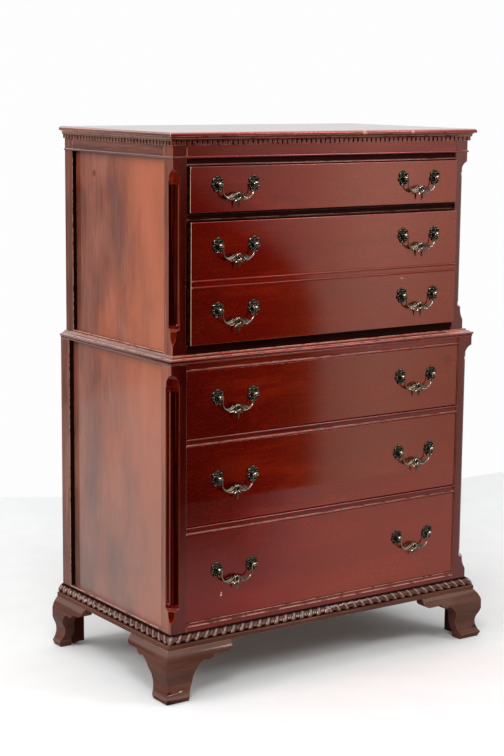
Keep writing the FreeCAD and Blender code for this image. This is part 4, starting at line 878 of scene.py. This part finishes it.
made_piece("carved_gadroon", gadroon_runs(), carved_wood, body_of["gadroon_moulding"],
           "gadroon_moulding")


# ---------------- pulls (millimetres)

PULL_X = 283.0
PULL_HEIGHTS = {1: (1245.0,), 2: (946.0, 1100.0), 3: (735.0,), 4: (535.0,), 5: (307.0,)}
PULL_BORING = 104.0
FRONT_THICK = 20.0
BALL_OUT = 12.0  # how far the ball's middle stands out of the front
BALL_RADIUS = 5.5

LOBES = 7
LOBE_STEPS = 18
LOBE_RADIUS = 7.0
ROSETTE_HALF = (18.5, 20.5)
RING_SHARES = np.concatenate([np.linspace(0.04, 0.44, 7), np.linspace(0.48, 0.96, 17),
                              (0.985, 1.0)])[:, None]
HOLE_SPREAD = 1.10  # the piercings lie this much further out than the lobes' middles
HOLE_RADIUS = 2.5
HOLE_EDGE = (HOLE_RADIUS - 0.7, HOLE_RADIUS + 0.2)
HOLE_FLOOR = 0.15
PLATE_HEIGHT = 2.3
RING_HEIGHT, RING_OUT, RING_WIDTH = 0.75, 1.2, 0.8
DOME_BASE, DOME_HEIGHT, DOME_REACH, DOME_RADIUS = 2.6, 2.6, 10.0, 9.4
GROOVE_DEPTH, GROOVE_RADIUS, GROOVE_WIDTH = 0.9, 9.9, 0.7
RIM_FROM = 0.93  # share of the radius at which the plate turns down
RIM_DROP = 0.55
PROUD_FROM, PROUD_RANGE = 1.2, 2.2
DOME_PROUD = 0.55

# radius, distance out of the front, and proudness of steps along each turned part
POST_STEPS = [(2.2, -26.0, 0.3), (2.8, -25.4, 0.3), (2.8, 4.0, 0.1), (6.0, 4.2, 0.3),
              (6.4, 5.0, 0.6), (5.6, 5.9, 0.5), (4.0, 6.4, 0.1), (3.2, 7.0, 0.1)]
NUT_STEPS = [(4.4, -FRONT_THICK - 4.0, 0.5), (5.2, -FRONT_THICK - 3.3, 0.6),
             (5.2, -FRONT_THICK, 0.4)]
BOSS_STEPS = [(3.9, -1.2, 0.1), (4.0, 0.2, 0.1), (3.2, 1.3, 0.4), (1.6, 2.0, 0.6),
              (0.4, 2.2, 0.6)]
BALL_TILTS = np.linspace(-0.55, 0.5, 10) * math.pi
NECK_RADIUS = 0.4
POST_SIDES, NUT_SIDES, BOSS_SIDES = 20, 6, 16

# the bail's right half: points (right, up) of its arm with its radius there, then its leaves as
# start, pull, end, half width, half depth and lift
ARM_KNOTS = ((50.6, 0.0), (47.6, 0.0), (45.6, -0.7), (44.6, -2.8), (44.9, -8.0), (45.1, -14.0),
             (43.8, -20.5), (40.0, -26.6), (34.0, -31.2), (27.0, -33.0), (20.0, -32.4))
ARM_RADII = (2.0, 2.0, 1.9, 1.7, 1.45, 1.4, 1.5, 1.75, 2.1, 2.4, 1.6)
ARM_STEPS = 46
ARM_SMOOTHINGS = 3
LEAVES = (((34.0, -31.5), (19.0, -38.0), (5.5, -19.0), 3.0, 1.6, 1.4),
          ((35.5, -30.0), (25.0, -31.5), (15.0, -21.0), 1.7, 1.3, 1.8),
          ((31.0, -32.5), (20.0, -38.5), (9.0, -33.5), 2.2, 1.4, 1.0),
          ((1.0, -35.0), (7.0, -38.0), (12.5, -43.5), 1.7, 1.2, 1.2))
PENDANT = ((0.0, -33.5), (0.0, -44.0), (0.0, -57.2), 2.9, 1.5, 1.0)
OVAL_UP = -28.6
OVAL_HALF = (6.4, 7.2)
OVAL_STEPS = 28
OVAL_BAR = (1.7, 1.7, 0.6)  # half width, half depth and lift
BOSS_STRETCH = 1.15
LEAF_STEPS = 16
LEAF_VEIN = 0.45
VEIN_WIDTH = 0.30
STRAND_SIDES = 12


def rosette():
    """An oval plate with seven lobes round it, seen from the front as (right, out, up). Its rim is
    the outermost of seven circles at each bearing. Its height is a rounded plate with a raised ring
    round a piercing in each lobe and a dome in the middle behind a groove."""
    bearing = np.linspace(0.0, math.tau, LOBES * LOBE_STEPS, endpoint=False)
    heading = np.stack([np.sin(bearing), np.cos(bearing)], axis=-1)
    turns = math.tau * np.arange(LOBES) / LOBES
    reach = np.array(ROSETTE_HALF) - LOBE_RADIUS
    centres = np.stack([np.sin(turns), np.cos(turns)], axis=-1) * reach
    shadow = heading @ centres.T
    inside = LOBE_RADIUS ** 2 - (centres ** 2).sum(axis=1) + shadow ** 2
    rim = np.where(inside > 0, shadow + np.sqrt(np.clip(inside, 0.0, None)), 0.0).max(axis=1)
    spot = (RING_SHARES * rim)[:, :, None] * heading
    radius = np.linalg.norm(spot, axis=-1)
    gap = np.linalg.norm(spot[:, :, None, :] - HOLE_SPREAD * centres, axis=-1).min(axis=-1)
    height = PLATE_HEIGHT + RING_HEIGHT * bell(gap - HOLE_RADIUS - RING_OUT, RING_WIDTH)
    dome = DOME_BASE + DOME_HEIGHT * np.clip(1.0 - (radius / DOME_REACH) ** 2, 0.0, 1.0)
    height = np.where(radius < DOME_RADIUS, dome, height)
    height -= GROOVE_DEPTH * bell(radius - GROOVE_RADIUS, GROOVE_WIDTH)
    height *= 1.0 - RIM_DROP * ease(RING_SHARES, RIM_FROM, 1.0)
    height = HOLE_FLOOR + (height - HOLE_FLOOR) * ease(gap, *HOLE_EDGE)
    proud = np.clip((height - PROUD_FROM) / PROUD_RANGE, 0.0, 1.0)
    proud *= DOME_PROUD + (1.0 - DOME_PROUD) * (radius > DOME_RADIUS)
    face = np.stack([spot[:, :, 0], height, spot[:, :, 1]], axis=-1)
    back = face[-1:] * np.array((1.0, 0.0, 1.0))
    return np.concatenate([face, back]), np.concatenate([proud, proud[-1:]])


def turned(steps, sides):
    """A shape turned about the axis that points out of the drawer front: a ring of points for each
    step of (radius, out, proud)."""
    radius, out, proud = np.array(steps).T[:, :, None]
    bearing = np.linspace(0.0, math.tau, sides, endpoint=False)
    points = np.stack([radius * np.sin(bearing), np.repeat(out, sides, axis=1),
                       radius * np.cos(bearing)], axis=-1)
    return points, np.repeat(proud, sides, axis=1)


def pull_parts():
    """The rosette, its post with a collar and a ball, and the nut behind, round one boring."""
    ball = np.stack([BALL_RADIUS * np.cos(BALL_TILTS), BALL_OUT + BALL_RADIUS * np.sin(BALL_TILTS),
                     0.55 + 0.45 * np.cos(BALL_TILTS)], axis=-1)
    ball = ball[ball[:, 0] > NECK_RADIUS][1:]
    return [rosette(), turned(POST_STEPS + ball.tolist(), POST_SIDES), turned(NUT_STEPS, NUT_SIDES)]


def placed(part, centre, way=1, loop=False):
    """The skin of a part given as (right, out, up), round its centre on the chest. way -1 mirrors
    it."""
    points, proud = part
    return skin(points * np.array((way, -1.0, 1.0)) + centre, proud, loop)


def pull_mounts(face, pulls):
    """The parts of every boring on one drawer."""
    parts = pull_parts()
    return [placed(part, np.array((x + way * PULL_BORING / 2, face, z)), way)
            for x, z in pulls for way in (-1, 1) for part in parts]


def strand(line, wide, deep, lift=0.0, crease=0.0, loop=False):
    """A bar of oval section carried along a line of (right, up) points: wide is its half width in
    the plane of the bail, deep its half depth, lift how far its middle line stands out, and crease
    how deep a vein is cut along its front. The section's own angle runs round from one edge over
    the front to the other and back behind, where it is flatter."""
    step = np.gradient(line, axis=0)
    if loop:
        step = np.roll(line, -1, axis=0) - np.roll(line, 1, axis=0)
    step /= np.linalg.norm(step, axis=1)[:, None]
    aside = np.stack([-step[:, 1], step[:, 0]], axis=-1)
    angle = np.linspace(0.0, math.tau, STRAND_SIDES, endpoint=False)[None, :]
    wide, deep, lift = (np.broadcast_to(value, len(line))[:, None] for value in (wide, deep, lift))
    front = np.sin(angle)
    vein = crease * bell(np.cos(angle), VEIN_WIDTH) * (front > 0)
    out = lift + deep * np.where(front > 0, front, 0.7 * front) * (1.0 - vein)
    right = line[:, :1] + wide * np.cos(angle) * aside[:, :1]
    up = line[:, 1:] + wide * np.cos(angle) * aside[:, 1:]
    proud = np.clip(0.45 + 0.55 * front, 0.0, 1.0) * (1.0 - 1.2 * vein) * np.ones_like(wide)
    return np.stack([right, out, up], axis=-1), np.clip(proud, 0.0, 1.0)


def leaf(start, pull, end, width, depth, lift):
    """A pointed leaf along the quadratic curve from start to end that leans towards pull: its width
    swells like a sine and its front has a vein."""
    share = np.linspace(0.0, 1.0, LEAF_STEPS)
    t = share[:, None]
    line = (1 - t) ** 2 * np.array(start) + 2 * t * (1 - t) * np.array(pull) + t * t * np.array(end)
    swell = np.sin(math.pi * np.clip(0.12 + 0.86 * share, 0.0, 1.0)) ** 0.8
    return strand(line, 0.25 + width * swell, 0.3 + depth * swell ** 0.7,
                  lift * np.sin(math.pi * share), LEAF_VEIN)


def bail_arm():
    """The arm from the pin in the ball down and in to the leaves: straight steps between its knots,
    smoothed by averaging each point with its neighbours."""
    place = np.arange(len(ARM_KNOTS))
    fine = np.linspace(0, len(ARM_KNOTS) - 1, ARM_STEPS)
    line = np.stack([np.interp(fine, place, way) for way in zip(*ARM_KNOTS)], axis=-1)
    for _ in range(ARM_SMOOTHINGS):
        line[1:-1] = 0.25 * line[:-2] + 0.5 * line[1:-1] + 0.25 * line[2:]
    radius = np.interp(fine, place, ARM_RADII)
    return strand(line, radius, radius)


def bail(face, x, z):
    """One bail at rest, hanging from the balls of its posts: an arm and leaves on each side, and in
    the middle a pendant, a boss and an oval ring."""
    centre = np.array((x, face - BALL_OUT, z))
    turn = np.linspace(0.0, math.tau, OVAL_STEPS, endpoint=False)
    oval = np.stack([OVAL_HALF[0] * np.sin(turn), OVAL_UP + OVAL_HALF[1] * np.cos(turn)], axis=-1)
    boss, boss_proud = turned(BOSS_STEPS, BOSS_SIDES)
    boss = boss * np.array((1.0, 1.0, BOSS_STRETCH)) + np.array((0.0, 0.0, OVAL_UP))
    half = [bail_arm()] + [leaf(*blade) for blade in LEAVES]
    return ([placed(part, centre, way) for part in half for way in (-1, 1)]
            + [placed(leaf(*PENDANT), centre), placed((boss, boss_proud), centre),
               placed(strand(oval, *OVAL_BAR, loop=True), centre, loop=True)])


bail_number = 0
for number, face in DRAWER_FACES.items():
    pulls = [(x, z) for z in PULL_HEIGHTS[number] for x in (-PULL_X, PULL_X)]
    made_piece(f"drawer_{number}_rosettes", pull_mounts(face, pulls), brass, f"drawer_{number}",
               f"drawer_{number}_pull_mounts")
    for x, z in pulls:
        bail_number += 1
        made_piece(f"swan_bail_{bail_number:02d}", bail(face, x, z), brass,
                   f"bail_{bail_number:02d}", f"bail_{bail_number:02d}")


# ---------------- studio

FLOOR_EDGE = ((-2.60, 3.60), (1.179, 1.19), (6.0, 1.20), (6.0, -1.90), (0.4, -1.90),
              (-4.2, -1.90), (-4.2, 3.60))
FLOOR_GRIME = ((9.0, 9.0, 9.0), 5.0, 0.6)
FLOOR_TONES = ((0.93, 0.94, 0.945, 1.0), (0.955, 0.965, 0.965, 1.0))
FLOOR_IN_SHADE = (0.42, 0.42, 0.42, 1.0)  # what it throws back on the chest

# from, to, level at the first, level at the second
GLEAM_AHEAD = (-1.75, -0.90, 0.05, 0.50)  # the floor in a gloss, by y
GLEAM_RIGHT = (-0.90, -0.60)  # by x
GLEAM_SLANT = 0.91
GLEAM_SLANTED = (-0.95, -0.45, 0.0, 0.66)  # by x + slant * y
GLEAM_LEFT = (-0.65, -0.45, 0.42, 0.0)  # by x
GLEAM_BACK = (-0.40, -0.10)  # by y

WALL = 0.985
FILL_AROUND, FILL_ABOVE, FILL_LEFT = 0.12, 0.90, 0.30
SCREEN_EDGE = (-0.17, -0.04, 0.752, 0.66)  # bearing of its left edge, by slope
SCREEN_BLUR = (-0.14, -0.06, 0.012, 0.06)
SCREEN_RISE = (-0.26, -0.04, 0.78, 1.30)  # brighter higher up
SCREEN_FAR = (0.85, 1.25, 1.0, 0.25)  # by bearing
SCREEN_NEAR = (0.70, 0.92, 0.74, 0.94)
HOT_BEARING = 0.805
HOT_SPOT = (0.0, 0.08, 0.50, 0.0)
BEHIND = (-0.25, 0.10)  # by y
BEHIND_ACROSS = (-0.2, 0.3, 0.34, 0.85)  # by x
STRIP_FOOT = (0.24, 0.30)  # by z
STRIP_TOP = (0.48, 0.56, 1.0, 0.0)
STRIP_BACK = (0.5, 0.7, 0.0, 2.2)  # by y
STRIP_LEFT = (-0.1, 0.2, 1.0, 0.0)  # by x
OVERHEAD = (0.50, 0.64)  # by z
OVERHEAD_ACROSS = (-0.2, 0.25, 0.6, 2.8)  # by x
LEFT_WINDOW = (-0.451, -0.551, 0.702)
WINDOW = (0.955, 0.975, 0.0, 20.0)  # by nearness to the window's heading
WARM_AHEAD = (-0.30, 0.0, 1.0, 0.0)  # by y

# name, place, aim, size, power, and whether a gloss shows it
LAMPS = (("left_lamp", (-3.6, 0.4, 2.9), (0.0, 0.0, 0.6), 1.6, 50.0, False),
         ("high_lamp", (-1.7, -2.2, 2.9), (0.0, 0.0, 0.9), 0.9, 34.0, True),
         ("right_lamp", (2.4, -3.0, 2.6), (0.0, 0.0, 0.6), 0.7, 26.0, True))


def floor_paint():
    """Pale matt paint, a little grimy. Seen straight it is white, and it throws less light back up
    on the chest. In a gloss it is dark but for a part ahead, one to the right of a slanted line and
    one beside the chest."""
    material, tree = new_material("pale_floor")
    place = here(tree)
    grime = noise(tree, place, *FLOOR_GRIME)
    colour = mixed(tree, spread(tree, grime, 0.3, 0.7), *FLOOR_TONES)
    x, y, _ = axes(tree, place)
    gleam = largest(
        tree, product(tree, spread(tree, y, *GLEAM_AHEAD), spread(tree, x, *GLEAM_RIGHT)),
        spread(tree, times_plus(tree, y, GLEAM_SLANT, x), *GLEAM_SLANTED),
        product(tree, spread(tree, x, *GLEAM_LEFT), spread(tree, y, *GLEAM_BACK)))
    rays = shader(tree, "LightPath").outputs
    in_gloss = mixed(tree, gleam, BLACK, colour)
    colour = mixed(tree, rays["Is Glossy Ray"], colour, in_gloss)
    seen = largest(tree, rays["Is Camera Ray"], rays["Is Glossy Ray"])
    colour = mixed(tree, seen, FLOOR_IN_SHADE, colour)
    return finished(material, tree, {"Base Color": colour, "Roughness": 0.85,
                                     "Specular IOR Level": 0.1})


def lay_floor():
    """A floor that ends where the wall of the studio begins."""
    mesh = bpy.data.meshes.new("floor")
    mesh.from_pydata([(x, y, 0.0) for x, y in FLOOR_EDGE], [], [tuple(range(len(FLOOR_EDGE)))])
    mesh.update()
    mesh.materials.append(floor_paint())
    floor = new_object("floor", mesh)


def screen_ahead(tree, x, y, z):
    """The dark room ahead with a broad screen on its right. The screen's left edge and its blur
    change with the slope of the view, and it has a bright stripe at one bearing."""
    ahead = largest(tree, product(tree, y, -1.0), 0.001)
    bearing = maths(tree, "DIVIDE", x, ahead)
    slope = maths(tree, "DIVIDE", z, ahead)
    past_edge = less(tree, bearing, spread(tree, slope, *SCREEN_EDGE))
    inside = maths(tree, "DIVIDE", past_edge, spread(tree, slope, *SCREEN_BLUR))
    level = product(tree, spread(tree, inside, -1.0, 1.0), spread(tree, slope, *SCREEN_RISE),
                    spread(tree, bearing, *SCREEN_FAR), spread(tree, bearing, *SCREEN_NEAR))
    off_stripe = maths(tree, "ABSOLUTE", less(tree, bearing, HOT_BEARING))
    return times_plus(tree, spread(tree, off_stripe, *HOT_SPOT), level, level)


def light_world():
    """White to the eye. Diffuse light comes from a dome that is brightest overhead and a little
    brighter on the left. A gloss shows a dark room ahead with a warm screen on its right, white
    walls behind the chest with a bright strip on the left, a bright ceiling and a window high on
    the left."""
    world = bpy.data.worlds.new("studio")
    scene.world = world
    world.use_nodes = True
    tree = world.node_tree
    tree.nodes.clear()
    rays = shader(tree, "LightPath").outputs
    heading = shader(tree, "TexCoord").outputs["Generated"]
    x, y, z = axes(tree, heading)
    window = shader(tree, "VectorMath", {0: heading, 1: LEFT_WINDOW}, operation="DOT_PRODUCT")
    gloss = largest(
        tree, screen_ahead(tree, x, y, z),
        product(tree, spread(tree, y, *BEHIND), spread(tree, x, *BEHIND_ACROSS)),
        product(tree, spread(tree, z, *OVERHEAD), spread(tree, x, *OVERHEAD_ACROSS)),
        product(tree, spread(tree, z, *STRIP_FOOT), spread(tree, z, *STRIP_TOP),
                spread(tree, y, *STRIP_BACK), spread(tree, x, *STRIP_LEFT)),
        spread(tree, window.outputs["Value"], *WINDOW))
    fill = times_plus(tree, largest(tree, z, 0.0), FILL_ABOVE, FILL_AROUND)
    fill = times_plus(tree, largest(tree, product(tree, x, -1.0), 0.0), FILL_LEFT, fill)
    level = mixed_value(tree, rays["Is Glossy Ray"], fill, gloss)
    level = mixed_value(tree, rays["Is Camera Ray"], level, WALL)
    warm = product(tree, rays["Is Glossy Ray"], spread(tree, y, *WARM_AHEAD))
    background = shader(tree, "Background", {"Color": mixed(tree, warm, WHITE, WARM),
                                             "Strength": level})
    shader(tree, "OutputWorld", {"Surface": background.outputs[0]})


def hang_lamp(name, place, aim, size, power, in_gloss):
    """A large soft square lamp at place that looks towards aim."""
    data = bpy.data.lights.new(name, "AREA")
    data.shape = "SQUARE"
    data.size = size
    data.energy = power
    lamp = new_object(name, data)
    lamp.location = place
    lamp.rotation_euler = (Vector(aim) - Vector(place)).to_track_quat("-Z", "Y").to_euler()
    lamp.visible_glossy = in_gloss
    lamp.visible_camera = False


lay_floor()
light_world()
for lamp in LAMPS:
    hang_lamp(*lamp)
